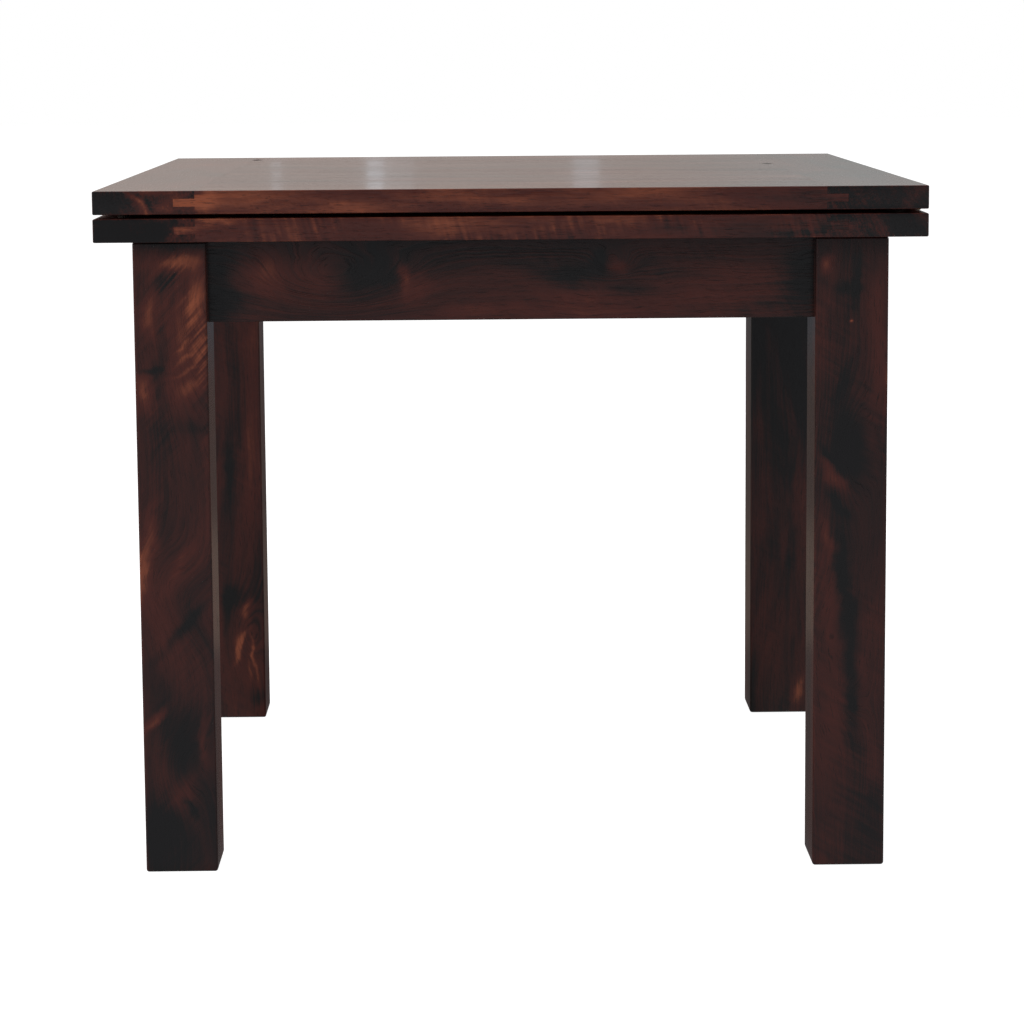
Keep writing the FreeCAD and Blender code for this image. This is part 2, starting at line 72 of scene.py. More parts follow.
def leg_shape(low, high, cut_from):
    """A square post with its inner corner cut off from a height upwards."""
    inner = [min(low[i], high[i], key=abs) for i in (0, 1)]
    outer = [max(low[i], high[i], key=abs) for i in (0, 1)]
    cut = [inner[i] + math.copysign(LEG_CORNER_CUT, outer[i]) for i in (0, 1)]
    plan = [
        (inner[0], inner[1]), (cut[0], inner[1]), (outer[0], inner[1]),
        (outer[0], outer[1]), (inner[0], outer[1]), (inner[0], cut[1]),
    ]
    shape = bmesh.new()
    corners = [shape.verts.new((x, y, low.z)) for x, y in plan]
    tip = shape.faces.new((corners[0], corners[1], corners[5]))
    post = shape.faces.new(corners[1:])
    raised = pulled(shape, [post, tip], Vector((0, 0, cut_from - low.z)))
    upper = [face for face in raised if len(face.verts) == len(post.verts)]
    pulled(shape, upper, Vector((0, 0, high.z - cut_from)))
    bmesh.ops.delete(shape, geom=upper, context="FACES_ONLY")
    bmesh.ops.recalc_face_normals(shape, faces=shape.faces)
    bmesh.ops.dissolve_limit(
        shape, angle_limit=FLAT_ANGLE, use_dissolve_boundaries=True, verts=shape.verts,
        edges=shape.edges)
    return shape


def scored(shape, axis, step):
    """Adds lines across a board at even steps, so that its edges can wander as planed ones do."""
    start = min(vert.co[axis] for vert in shape.verts)
    length = max(vert.co[axis] for vert in shape.verts) - start
    count = max(1, round(length / step))
    along = Vector([float(i == axis) for i in range(3)])
    for index in range(1, count):
        whole = shape.verts[:] + shape.edges[:] + shape.faces[:]
        place = along * (start + length * index / count)
        bmesh.ops.bisect_plane(shape, geom=whole, plane_co=place, plane_no=along)


def sharp_edges(shape):
    """The outward edges that a plane would catch on."""
    return [edge for edge in shape.edges if edge.is_convex and edge.calc_face_angle(0.0) > SHARP_ANGLE]


def ease(shape, edges, width):
    """Rounds arrises over, as a few strokes of a plane and some sandpaper do."""
    bmesh.ops.bevel(
        shape, geom=edges, offset=width, offset_type="OFFSET", segments=3, profile=0.5,
        affect="EDGES", material=-1, clamp_overlap=True)


FLAT_SLANT = 0.04
SLANT_TO_ROUND = 0.06
RUBS_A_METRE = 38
SWAYS_A_METRE = 7
DEEPEST_RUB = 0.12


def plane_by_hand(shape, sway, rub, seed):
    """Leaves faces a hair out of true and arrises rubbed back unevenly, and marks the arrises.

    A point's slant is how far its normal has turned off a flat face. No rub goes deeper than a
    share of the shortest edge that meets the point.
    """
    shape.normal_update()
    mark = shape.verts.layers.float.new("arris")
    moves = []
    for vert in shape.verts:
        slant = 1 - max(abs(part) for part in vert.normal)
        on_arris = min(1.0, max(0.0, (slant - FLAT_SLANT) / SLANT_TO_ROUND))
        vert[mark] = on_arris
        place = vert.co + Vector((seed, 2.3 * seed, 0.7 * seed))
        room = DEEPEST_RUB * min(edge.calc_length() for edge in vert.link_edges)
        wear = min(room, rub * on_arris * max(0.0, noise.noise(place * RUBS_A_METRE)))
        moves.append(vert.normal * (sway * noise.noise(place * SWAYS_A_METRE) - wear))
    for vert, move in zip(shape.verts, moves):
        vert.co += move


def finished(name, shape, finish, body, slot, *nodes):
    """Makes a shaped piece an object, gives it its finish and ties it to the frame."""
    for face in shape.faces:
        face.smooth = True
    for edge in shape.edges:
        edge.smooth = edge.calc_face_angle(0.0) < SHADING_ANGLE
    mesh = bpy.data.meshes.new(name)
    shape.to_mesh(mesh)
    shape.free()
    mesh.materials.append(finish)
    piece = bpy.data.objects.new(name, mesh)
    bpy.context.scene.collection.objects.link(piece)
    piece.modifiers.new("flat_faces_stay_flat", "WEIGHTED_NORMAL").keep_sharp = True
    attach(piece, body)
    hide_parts(*nodes)
    return piece


def tie(tree, socket, term):
    """Gives a node's input a number, a colour or another node's output."""
    if isinstance(term, bpy.types.NodeSocket):
        tree.links.new(term, socket)
    else:
        socket.default_value = term


def tie_all(tree, sockets, terms):
    """Gives a node's inputs their terms, by name."""
    for label, term in terms.items():
        tie(tree, sockets[label], term)


def reckoned(tree, operation, *terms):
    """One step of arithmetic in a node tree."""
    step = tree.nodes.new("ShaderNodeMath")
    step.operation = operation
    for socket, term in zip(step.inputs, terms):
        tie(tree, socket, term)
    return step.outputs[0]


def reckoned_place(tree, operation, *terms):
    """One step of arithmetic on places."""
    step = tree.nodes.new("ShaderNodeVectorMath")
    step.operation = operation
    for socket, term in zip(step.inputs, terms):
        tie(tree, socket, term)
    return step.outputs["Value" if operation == "DOT_PRODUCT" else "Vector"]


def summed(tree, start, *terms):
    """A start with terms added to it, each times its weight."""
    for term, weight in terms:
        start = reckoned(tree, "MULTIPLY_ADD", term, weight, start)
    return start


def parted(tree, place):
    """The three parts of a place."""
    parts = tree.nodes.new("ShaderNodeSeparateXYZ")
    tie(tree, parts.inputs[0], place)
    return parts.outputs


def joined(tree, *parts):
    """A place made of three parts."""
    whole = tree.nodes.new("ShaderNodeCombineXYZ")
    for socket, part in zip(whole.inputs, parts):
        tie(tree, socket, part)
    return whole.outputs[0]


def ramped(tree, value, low, high):
    """0 below low, 1 above high, and smooth between them."""
    step = tree.nodes.new("ShaderNodeMapRange")
    step.interpolation_type = "SMOOTHSTEP"
    tie_all(tree, step.inputs, {"Value": value, "From Min": low, "From Max": high})
    return step.outputs["Result"]


def drifting(tree, place, changes, detail=2.0, roughness=0.5, swirl=0.0):
    """A soft random value round 0.5, with so many changes a metre along, across and into the wood."""
    cloud = tree.nodes.new("ShaderNodeTexNoise")
    tie_all(tree, cloud.inputs, {
        "Vector": reckoned_place(tree, "MULTIPLY", place, changes), "Scale": 1.0,
        "Detail": detail, "Roughness": roughness, "Distortion": swirl})
    return cloud.outputs["Fac"]


def swinging(tree, *wanted):
    """A drifting value that goes as far below 0 as above it."""
    return reckoned(tree, "SUBTRACT", drifting(tree, *wanted), 0.5)


def mixed(tree, share, first, second):
    """A colour between two, by a share."""
    step = tree.nodes.new("ShaderNodeMix")
    step.data_type = "RGBA"
    for index, term in ((0, share), (6, first), (7, second)):
        tie(tree, step.inputs[index], term)
    return step.outputs[2]


def new_group(name, inputs, outputs):
    """A node group with named sockets; returns its tree, what it is given and what it puts out."""
    tree = bpy.data.node_groups.new(name, "ShaderNodeTree")
    for label, value in inputs.items():
        kind = {3: "Vector", 4: "Color"}[len(value)] if isinstance(value, tuple) else "Float"
        socket = tree.interface.new_socket(label, in_out="INPUT", socket_type="NodeSocket" + kind)
        socket.default_value = value
    for label, kind in outputs.items():
        tree.interface.new_socket(label, in_out="OUTPUT", socket_type="NodeSocket" + kind)
    return tree, tree.nodes.new("NodeGroupInput").outputs, tree.nodes.new("NodeGroupOutput").inputs


def placed(tree, group, **terms):
    """Puts a node group into a material, with its inputs tied by name; returns its outputs."""
    node = tree.nodes.new("ShaderNodeGroup")
    node.node_tree = group
    tie_all(tree, node.inputs, terms)
    return node.outputs


def grown_wood_group():
    """How the tree grew: rings, colour clouds, fibres, pores, curl and waves at a place in the wood.

    The place counts metres along the grain, across the face and into the board. Figure pushes the
    grain aside, so that rings and fibres run round a knot, and Lean is the way the curl crosses it.
    """
    tree, given, out = new_group(
        "grown_wood",
        {"Place": (0, 0, 0), "Figure": 0.0, "Ring": 0.006, "Sway": 0.05, "Lean": (1.0, 0.6, 0.0)},
        dict.fromkeys(("Rings", "Clouds", "Fibres", "Pores", "Curl", "Waves"), "Float"))
    skewed = reckoned_place(tree, "DOT_PRODUCT", given["Place"], (1.0, 0.31, 0.23))
    _, across, into = parted(tree, given["Place"])
    place = joined(tree, skewed, across, into)
    flow = swinging(tree, place, (2.3, 9.0, 9.0))
    ripple = swinging(tree, place, (15.0, 50.0, 50.0), 3.0)
    bent = summed(tree, across, (flow, given["Sway"]), (ripple, 0.009), (given["Figure"], 1.0))
    grain = joined(tree, skewed, bent, into)

    count = reckoned(tree, "DIVIDE", summed(tree, bent, (into, 0.4)), given["Ring"])
    years = tree.nodes.new("ShaderNodeTexNoise")
    years.noise_dimensions = "1D"
    tie_all(tree, years.inputs, {"W": count, "Scale": 0.31})
    season = reckoned(tree, "FRACT", summed(tree, count, (years.outputs["Fac"], 2.4)))
    late = reckoned(tree, "SUBTRACT", ramped(tree, season, 0.15, 0.85), ramped(tree, season, 0.87, 1.0))
    plain = ramped(tree, drifting(tree, place, (5.0, 19.0, 19.0)), 0.35, 0.62)
    tie(tree, out["Rings"], reckoned(tree, "MULTIPLY", late, plain))

    tie(tree, out["Clouds"], swinging(tree, grain, (3.4, 15.0, 15.0), 4.0, 0.6, 0.5))
    fine = drifting(tree, grain, (9.0, 480.0, 480.0), 3.0, 0.62)
    coarse = drifting(tree, grain, (4.0, 130.0, 130.0), 2.0, 0.6)
    tie(tree, out["Fibres"], summed(tree, 0.0, (coarse, 0.45), (fine, 0.55)))
    pores = drifting(tree, grain, (60.0, 1100.0, 1100.0), 1.0)
    tie(tree, out["Pores"], ramped(tree, pores, 0.60, 0.72))

    leaning = reckoned_place(tree, "DOT_PRODUCT", given["Place"], given["Lean"])
    stripes = swinging(tree, joined(tree, leaning, across, into), (150.0, 26.0, 26.0), 1.0)
    patches = ramped(tree, drifting(tree, place, (8.0, 18.0, 18.0)), 0.40, 0.62)
    tie(tree, out["Curl"], reckoned(tree, "MULTIPLY", stripes, patches))
    tie(tree, out["Waves"], drifting(tree, grain, (0.8, 9.0, 9.0), 2.0, 0.6))
    return tree


def soft_spot_group():
    """A mark that is 1 at a centre and fades out over a size along each axis, leaning about Y."""
    tree, given, out = new_group(
        "soft_spot", {"Place": (0, 0, 0), "Centre": (0, 0, 0), "Size": (1, 1, 1), "Lean": 0.0},
        {"Mark": "Float"})
    away = reckoned_place(tree, "SUBTRACT", given["Place"], given["Centre"])
    turned_away = tree.nodes.new("ShaderNodeVectorRotate")
    turned_away.rotation_type = "Y_AXIS"
    tie_all(tree, turned_away.inputs, {"Vector": away, "Angle": given["Lean"]})
    share = reckoned_place(tree, "DIVIDE", turned_away.outputs["Vector"], given["Size"])
    far = reckoned_place(tree, "DOT_PRODUCT", share, share)
    tie(tree, out["Mark"], reckoned(tree, "EXPONENT", reckoned(tree, "MULTIPLY", far, -1.0)))
    return tree


def ragged_group():
    """Moves a place about a little, so that marks in the wood get feathered outlines."""
    tree, given, out = new_group("ragged", {"Place": (0, 0, 0), "Reach": 0.02}, {"Place": "Vector"})
    askew = tree.nodes.new("ShaderNodeMapping")
    tie_all(tree, askew.inputs, {"Vector": given["Place"], "Rotation": (0.5, 0.7, 0.4)})
    cloud = tree.nodes.new("ShaderNodeTexNoise")
    tie_all(tree, cloud.inputs, {"Vector": askew.outputs["Vector"], "Scale": 38.0, "Detail": 3.0})
    shift = reckoned_place(tree, "SUBTRACT", cloud.outputs["Color"], (0.5, 0.5, 0.5))
    moved = reckoned_place(tree, "MULTIPLY_ADD", shift, given["Reach"], given["Place"])
    tie(tree, out["Place"], moved)
    return tree


def stain_group():
    """How dark stain and lacquer lie on the wood: colour, roughness and the height of the surface."""
    tree, given, out = new_group(
        "dark_stain",
        {
            "Rings": 0.0, "Clouds": 0.0, "Fibres": 0.5, "Pores": 0.0, "Curl": 0.0, "Glow": 0.0,
            "Shade": 0.0, "End": 0.0, "Arris": 0.0, "Waves": 0.0, "Matt": 0.0, "Tone": 0.4, "Gloss": 0.4,
            "Dark": (0.006, 0.005, 0.005, 1), "Middle": (0.066, 0.0142, 0.0098, 1),
            "Bright": (0.26, 0.069, 0.032, 1),
        },
        {"Colour": "Color", "Roughness": "Float", "Height": "Float"})
    streaks = reckoned(tree, "SUBTRACT", given["Fibres"], 0.5)
    worn = reckoned(tree, "MULTIPLY", given["Arris"], ramped(tree, given["Fibres"], 0.42, 0.62))
    tone = summed(
        tree, given["Tone"], (given["Clouds"], 1.5), (given["Rings"], -0.11), (streaks, 0.46),
        (given["Curl"], 0.55), (given["Glow"], 1.0), (given["Shade"], -1.0), (given["End"], -0.35),
        (worn, 0.14))
    dark_half = mixed(tree, ramped(tree, tone, 0.0, 0.5), given["Dark"], given["Middle"])
    whole = mixed(tree, ramped(tree, tone, 0.45, 1.05), dark_half, given["Bright"])
    filled = reckoned(tree, "MULTIPLY", given["Pores"], 0.55)
    tie(tree, out["Colour"], mixed(tree, filled, whole, given["Dark"]))
    tie(tree, out["Roughness"], summed(
        tree, given["Gloss"], (given["Matt"], 1.0), (given["Fibres"], 0.14), (given["Pores"], 0.15)))
    pitted = summed(tree, given["Fibres"], (given["Rings"], -0.35), (given["Pores"], -0.7))
    sanded = summed(tree, 1.0, (given["End"], -0.7))
    tie(tree, out["Height"], summed(tree, given["Waves"], (pitted, sanded)))
    return tree


def new_finish(name):
    """A material; returns it with its node tree, its shader's inputs and the places on the piece."""
    finish = bpy.data.materials.new(name)
    finish.use_nodes = True
    tree = finish.node_tree
    return finish, tree, tree.nodes["Principled BSDF"].inputs, tree.nodes.new("ShaderNodeTexCoord").outputs


def roughened(tree, shader, height, strength, depth):
    """Lets a surface rise and fall with a height."""
    bump = tree.nodes.new("ShaderNodeBump")
    tie_all(tree, bump.inputs, {"Strength": strength, "Distance": depth, "Height": height})
    tie(tree, shader["Normal"], bump.outputs["Normal"])


grown_wood = grown_wood_group()
soft_spot = soft_spot_group()
ragged = ragged_group()
dark_stain = stain_group()
PLAIN_LOOKS = {
    "tone": 0.42, "clouds": 1.0, "rings": 1.0, "fibres": 1.0, "sway": 0.05, "curl": 1.0,
    "lean": (1.0, 0.6, 0.0), "waves": 0.4, "drink": 1.0, "gloss": 0.15, "coat": 0.05,
    "figure": (), "glow": (), "shade": (), "curly": (), "matt": (),
}
RING_WIDTH = 0.006
FEATHERING = 0.018
END_GRAIN = (0.6, 0.95)
GRAIN_STRENGTH = 0.5
GRAIN_DEPTH = 0.00025
LACQUER_ROUGHNESS = 0.3


def stained_wood(name, along, across, cut, **special):
    """A stained board's finish; along and across are its axes, cut is where in the tree it was sawn.

    Its special looks stand in for plain ones. figure, glow, shade, curly and matt are marks in the
    wood, each with its centre, size, strength and lean: figure bends the rings round a knot or an
    eye, glow is wood that took little stain, shade much, curly wood has a stripe across the grain,
    and matt is where the lacquer sank in. Some glow and shade rows are painted light instead:
    painted shade under the leaf and on the inner side of a leg, painted shadow of the legs on the
    apron and painted haze low on the rear legs; each is named where it stands.
    """
    looks = {**PLAIN_LOOKS, **special}
    finish, tree, shader, surface = new_finish(name)
    place = surface["Object"]
    sides = parted(tree, place)
    in_board = joined(tree, sides[along], sides[across], sides[3 - along - across])
    in_tree = reckoned_place(tree, "ADD", in_board, cut)
    facing = reckoned(tree, "ABSOLUTE", parted(tree, surface["Normal"])[along])
    feathered = placed(tree, ragged, Place=place, Reach=FEATHERING)["Place"]
    arris = tree.nodes.new("ShaderNodeAttribute")
    arris.attribute_name = "arris"

    def marks(kind, where, start=0.0):
        spots = []
        for centre, size, strength, lean in looks[kind]:
            spot = placed(tree, soft_spot, Place=where, Centre=centre, Size=size, Lean=lean)
            spots.append((spot["Mark"], strength))
        return summed(tree, start, *spots)

    def weighed(source, share):
        return reckoned(tree, "MULTIPLY", source, share)

    grown = placed(
        tree, grown_wood, Place=in_tree, Figure=marks("figure", place), Ring=RING_WIDTH,
        Sway=looks["sway"], Lean=looks["lean"])
    clear = looks["fibres"]
    stained = placed(
        tree, dark_stain, Rings=weighed(grown["Rings"], looks["rings"]),
        Clouds=weighed(grown["Clouds"], looks["clouds"]),
        Fibres=summed(tree, 0.5 - 0.5 * clear, (grown["Fibres"], clear)), Pores=grown["Pores"],
        Curl=weighed(grown["Curl"], marks("curly", place, looks["curl"])),
        Waves=weighed(grown["Waves"], looks["waves"]), Glow=marks("glow", feathered),
        Shade=marks("shade", feathered), Matt=marks("matt", place), Arris=arris.outputs["Fac"],
        End=weighed(ramped(tree, facing, *END_GRAIN), looks["drink"]), Tone=looks["tone"],
        Gloss=looks["gloss"])
    tie_all(tree, shader, {
        "Base Color": stained["Colour"], "Roughness": stained["Roughness"],
        "Coat Weight": looks["coat"], "Coat Roughness": LACQUER_ROUGHNESS})
    roughened(tree, shader, stained["Height"], GRAIN_STRENGTH, GRAIN_DEPTH)
    return finish


UPRIGHT_MARK_DEPTH = 0.03


def upright_marks(face, **kinds):
    """Marks on an upright face, kind by kind. A row is a centre and a size in millimetres, each in X
    and Z, a strength, and a lean in degrees if the mark rises to the right."""
    def mark(x, z, wide, tall, strength, lean=0):
        size = (wide / 1000, UPRIGHT_MARK_DEPTH, tall / 1000)
        return (x / 1000, face, z / 1000), size, strength, math.radians(lean)

    return {kind: [mark(*row) for row in rows] for kind, rows in kinds.items()}


LEG_LOOKS = {
    "front_left": {
        "cut": (3.1, 0.4, 0.2), "tone": 0.285, "clouds": 0.55, "rings": 0.55, "fibres": 0.45,
        "curl": 0.3, "lean": (1.0, -1.1, 0.0),
        **upright_marks(
            LEG_FRONT,
            curly=[(-352, 600, 34, 90, 3.6)],
            figure=[
                (-334, 640, 50, 105, 0.085), (-350, 300, 40, 90, 0.050, 50),
                (-372, 120, 30, 40, 0.030),
            ],
            glow=[
                (-361, 683, 26, 10, 0.60, 5), (-345, 645, 14, 26, 0.54), (-353, 596, 22, 36, 0.28),
                (-352, 545, 24, 10, 0.38, 25), (-358, 592, 16, 2.2, 0.24, 42),
                (-356, 578, 19, 2.4, 0.24, 37), (-355, 564, 21, 2.6, 0.24, 31),
                (-364, 618, 44, 70, 0.07), (-404, 540, 10, 18, 0.54), (-395, 624, 8, 16, 0.36),
                (-408, 345, 8, 60, 0.46, -12), (-371, 345, 6, 36, 0.22, -30),
                (-399, 172, 18, 4, 0.46, 45), (-345, 150, 5, 26, 0.26), (-366, 92, 12, 22, 0.24, -20),
                (-376, 440, 40, 50, 0.02),
            ],
            shade=[
                (-383, 575, 8, 74, 0.23), (-386, 420, 14, 70, 0.12), (-374, 658, 24, 15, 0.19),
                # The row at 705 mm, as wide as the leg at its top, is painted shade under the overhanging
                # leaf. The wide row at 30 mm makes the leg darker at its foot.
                (-364, 278, 6, 42, 0.26, -40), (-394, 562, 18, 4, 0.20), (-372, 705, 60, 8, 0.30),
                (-376, 168, 26, 50, 0.28), (-372, 30, 80, 65, 0.26), (-394, 52, 22, 34, 0.20),
                (-362, 75, 4, 14, 0.26, 30), (-350, 500, 30, 10, 0.14),
            ]),
    },
    "front_right": {
        "cut": (7.4, 1.1, 0.5), "tone": 0.28, "clouds": 0.45, "rings": 0.7, "fibres": 0.5, "curl": 0.6,
        **upright_marks(
            LEG_FRONT,
            figure=[
                (379, 185, 16, 20, 0.020), (372, 470, 22, 70, 0.030), (330, 250, 30, 120, 0.030),
            ],
            glow=[
                (344, 676, 7, 9, 0.50), (402, 582, 9, 90, 0.20), (411, 552, 4, 12, 0.30),
                (354, 440, 22, 6, 0.46, -56), (346, 372, 5, 22, 0.30, 10), (349, 300, 12, 60, 0.22, 3),
                (352, 150, 12, 52, 0.06, -4), (397, 230, 14, 60, 0.08), (399, 110, 10, 22, 0.20),
                (373, 613, 1.5, 1.5, 0.80),
            ],
            shade=[
                (378, 652, 5, 30, 0.26), (366, 648, 14, 8, 0.18), (368, 478, 16, 36, 0.34),
                (362, 540, 6, 30, 0.18, -18), (351, 463, 14, 3, 0.34, -50),
                (358, 408, 16, 4, 0.26, -50), (368, 310, 9, 80, 0.26, 6), (374, 190, 9, 50, 0.24),
                # The row at 690 mm, as wide as the leg, is painted shade under the overhanging leaf. The
                # wide row at 60 mm makes the leg darker at its foot.
                (379, 185, 5, 6, 0.40), (376, 690, 60, 30, 0.16), (355, 610, 20, 60, 0.10),
                (372, 60, 60, 80, 0.11),
            ]),
    },
    "rear_left": {
        "cut": (12.6, 2.3, 0.9), "tone": 0.31, "curl": 0.4, "gloss": 0.36, "coat": 0.45,
        **upright_marks(
            REAR_LEG_FRONT,
            figure=[(-360, 120, 22, 50, 0.030)],
            glow=[
                (-347, 403, 10, 123, 0.20), (-369, 98, 4.5, 24, 0.62, -12),
                (-362, 112, 3, 16, 0.44, -30), (-356, 152, 5, 14, 0.58, -20),
                # The last glow, as wide as the leg, lightens its lower part as a painted haze.
                (-347, 83, 3, 40, 0.52, 6), (-354, 70, 3, 20, 0.32), (-365, 80, 60, 110, 0.08),
            ],
            shade=[(-377, 357, 7, 66, 0.24), (-378, 166, 12, 18, 0.30), (-344, 29, 13, 16, 0.30)]),
    },
    "rear_right": {
        "cut": (18.2, 3.7, 1.4), "tone": 0.21, "curl": 0.3, "gloss": 0.36, "coat": 0.45,
        **upright_marks(
            REAR_LEG_FRONT,
            # The second glow, as wide as the leg, lightens its lower part as a painted haze.
            glow=[(399, 31, 7, 20, 0.62, -12), (372, 100, 60, 130, 0.12)],
            shade=[(372, 560, 50, 120, 0.16)]),
    },
}
# Painted shade on the inner side of the front right leg, which faces the left lamp, to keep that side dark.
PAINTED_SHADE_ON_INNER_SIDE = ((RIGHT_LEG_INNER_SIDE, LEG_FRONT + 0.05, 0.40), (0.014, 0.035, 0.40), 0.34, 0.0)
LEG_LOOKS["front_right"]["shade"].append(PAINTED_SHADE_ON_INNER_SIDE)

for corner, looks in LEG_LOOKS.items():
    node = corner + "_leg"
    post = leg_shape(*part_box(node), LEG_CUT_FROM)
    scored(post, 2, LEG_SCORING)
    ease(post, sharp_edges(post), LEG_ARRIS)
    plane_by_hand(post, LEG_SWAY, LEG_RUB, looks["cut"][0])
    finish = stained_wood("stained_" + node, 2, 0, **looks)
    finished(node + "_stained", post, finish, "base", "frame_wood", node)

# Aprons: four flat boards, 90 mm deep, butted between the legs and set back behind their faces.
# They are sawn from the same wood, with an eye and knots in the front one, and stained the same.
# The left and right ones are housed on the inside for the ends of the guide rails.

APRON_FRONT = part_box("front_apron")[0].y
APRON_ARRIS = 0.0015
APRON_SCORING = 0.03
APRON_SWAY = 0.00012
APRON_RUB = 0.0006
RAIL_HOUSING_DEPTH = 0.008
NO_RUN = 1e-4
SAME_PLACE = 1e-6


def drawn_out(outline, run):
    """A straight board: a flat outline drawn out along a run."""
    shape = bmesh.new()
    face = shape.faces.new([shape.verts.new(corner) for corner in outline])
    pulled(shape, [face], run)
    bmesh.ops.recalc_face_normals(shape, faces=shape.faces)
    return shape


def board_shape(low, high, along):
    """A plain board that fills a box, drawn out along an axis."""
    across, up = [axis for axis in range(3) if axis != along]
    outline = []
    for side, top in ((low, low), (high, low), (high, high), (low, high)):
        corner = low.copy()
        corner[across] = side[across]
        corner[up] = top[up]
        outline.append(corner)
    run = Vector((0, 0, 0))
    run[along] = high[along] - low[along]
    return drawn_out(outline, run)


def runs_along(edge, axis):
    """Whether an edge has any run along an axis."""
    return abs(edge.verts[1].co[axis] - edge.verts[0].co[axis]) > NO_RUN


def worked(shape, operation, *tools):
    """Cuts closed shapes out of a shape, as a chisel or a router would, or keeps or adds them."""
    def loaded(source):
        mesh = bpy.data.meshes.new("on_the_bench")
        source.to_mesh(mesh)
        source.free()
        made = bpy.data.objects.new("on_the_bench", mesh)
        bpy.context.scene.collection.objects.link(made)
        return made

    work = loaded(shape)
    tools = [loaded(tool) for tool in tools]
    for tool in tools:
        step = work.modifiers.new("step", "BOOLEAN")
        step.operation = operation
        step.solver = "EXACT"
        step.object = tool
    result = bmesh.new()
    result.from_object(work, bpy.context.evaluated_depsgraph_get())
    for spare in [work] + tools:
        mesh = spare.data
        bpy.data.objects.remove(spare)
        bpy.data.meshes.remove(mesh)
    bmesh.ops.dissolve_degenerate(result, dist=SAME_PLACE, edges=result.edges)
    return result


APRON_LOOKS = {
    "front": {
        "cut": (5.3, 0.9, 0.3), "tone": 0.268, "clouds": 0.6, "rings": 0.9, "curl": 0.3, "sway": 0.03,
        **upright_marks(
            APRON_FRONT,
            figure=[(-196, 660, 80, 38, 0.055), (112, 678, 20, 14, 0.022)],
            glow=[
                (-268, 672, 16, 20, 0.28), (-118, 662, 5, 18, 0.38, 10), (-104, 656, 14, 18, 0.20),
                (-37, 624, 44, 7, 0.30), (83, 640, 30, 8, 0.26), (182, 636, 72, 8, 0.20),
                (120, 622, 122, 7, 0.22), (117, 672, 9, 6, 0.26), (-216, 662, 26, 22, 0.10),
            ],
            shade=[
                # The first two rows, at the ends beside the legs, are dark wood and painted shadow of the
                # legs, which stand proud of the apron.
                (-325, 660, 26, 50, 0.36), (325, 661, 30, 45, 0.42), (-163, 664, 36, 20, 0.20),
                (67, 666, 33, 8, 0.16), (98, 680, 8, 11, 0.26), (281, 628, 28, 9, 0.22),
            ]),
    },
    "rear": {"cut": (9.9, 1.7, 0.8), "tone": 0.38, "curl": 0.4},
    "left": {"cut": (14.2, 2.9, 1.2), "tone": 0.40, "curl": 0.6},
    "right": {"cut": (20.5, 4.1, 1.9), "tone": 0.36, "curl": 0.5},
}
for side, looks in APRON_LOOKS.items():
    node = side + "_apron"
    low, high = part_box(node)
    along = 0 if side in ("front", "rear") else 1
    apron = board_shape(low, high, along)
    scored(apron, along, APRON_SCORING)
    ease(apron, [edge for edge in sharp_edges(apron) if runs_along(edge, along)], APRON_ARRIS)
    plane_by_hand(apron, APRON_SWAY, APRON_RUB, looks["cut"][0])
    if along == 1:
        inner_face = min(low.x, high.x, key=abs)
        housings = []
        for rail in ("front_guide_rail", "rear_guide_rail"):
            rail_low, rail_high = [corner.copy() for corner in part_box(rail)]
            rail_low.x = inner_face - RAIL_HOUSING_DEPTH
            rail_high.x = inner_face + RAIL_HOUSING_DEPTH
            housings.append(board_shape(rail_low, rail_high, 0))
        apron = worked(apron, "DIFFERENCE", *housings)
    finish = stained_wood("stained_" + node, along, 2, **looks)
    finished(node + "_stained", apron, finish, "base", "frame_wood", node)

# Corner blocks, guide rails and runners: plain hardwood bars and blocks that nobody sees when the
# table stands, planed, sanded and left without stain under a thin coat of lacquer.

INNER_RING_WIDTH = 0.004
INNER_SWAY = 0.03
INNER_GRAIN_DEPTH = 0.0003
INNER_COLOURS = {
    "Dark": (0.075, 0.038, 0.020, 1), "Middle": (0.21, 0.115, 0.060, 1), "Bright": (0.40, 0.25, 0.14, 1)}


def inner_wood():
    """Unstained, lightly sealed hardwood, with its grain along X."""
    finish, tree, shader, surface = new_finish("sealed_hardwood")
    grown = placed(tree, grown_wood, Place=surface["Object"], Ring=INNER_RING_WIDTH, Sway=INNER_SWAY)
    traits = {trait: grown[trait] for trait in ("Rings", "Clouds", "Fibres", "Pores", "Curl")}
    sealed = placed(tree, dark_stain, **traits, **INNER_COLOURS, Tone=0.55, Gloss=0.5)
    tie_all(tree, shader, {"Base Color": sealed["Colour"], "Roughness": sealed["Roughness"]})
    roughened(tree, shader, sealed["Height"], GRAIN_STRENGTH, INNER_GRAIN_DEPTH)
    return finish


def dress(finish, *nodes):
    """Gives CAD pieces whose shape is right their finish."""
    for name in nodes:
        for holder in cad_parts[name].material_slots:
            holder.material = finish


sealed_hardwood = inner_wood()
dress(sealed_hardwood, *[corner + "_corner_block" for corner in LEG_LOOKS])
dress(sealed_hardwood, "front_guide_rail", "rear_guide_rail", "front_runner", "rear_runner")

# Bolts, washers, nuts and wood screws: zinc-plated steel, bought in. Two hanger bolts draw each leg
# against its corner block, with a washer and a nut on the block's inner side. Countersunk screws
# hold the blocks to the aprons and, from below, the runners to the lower leaf.

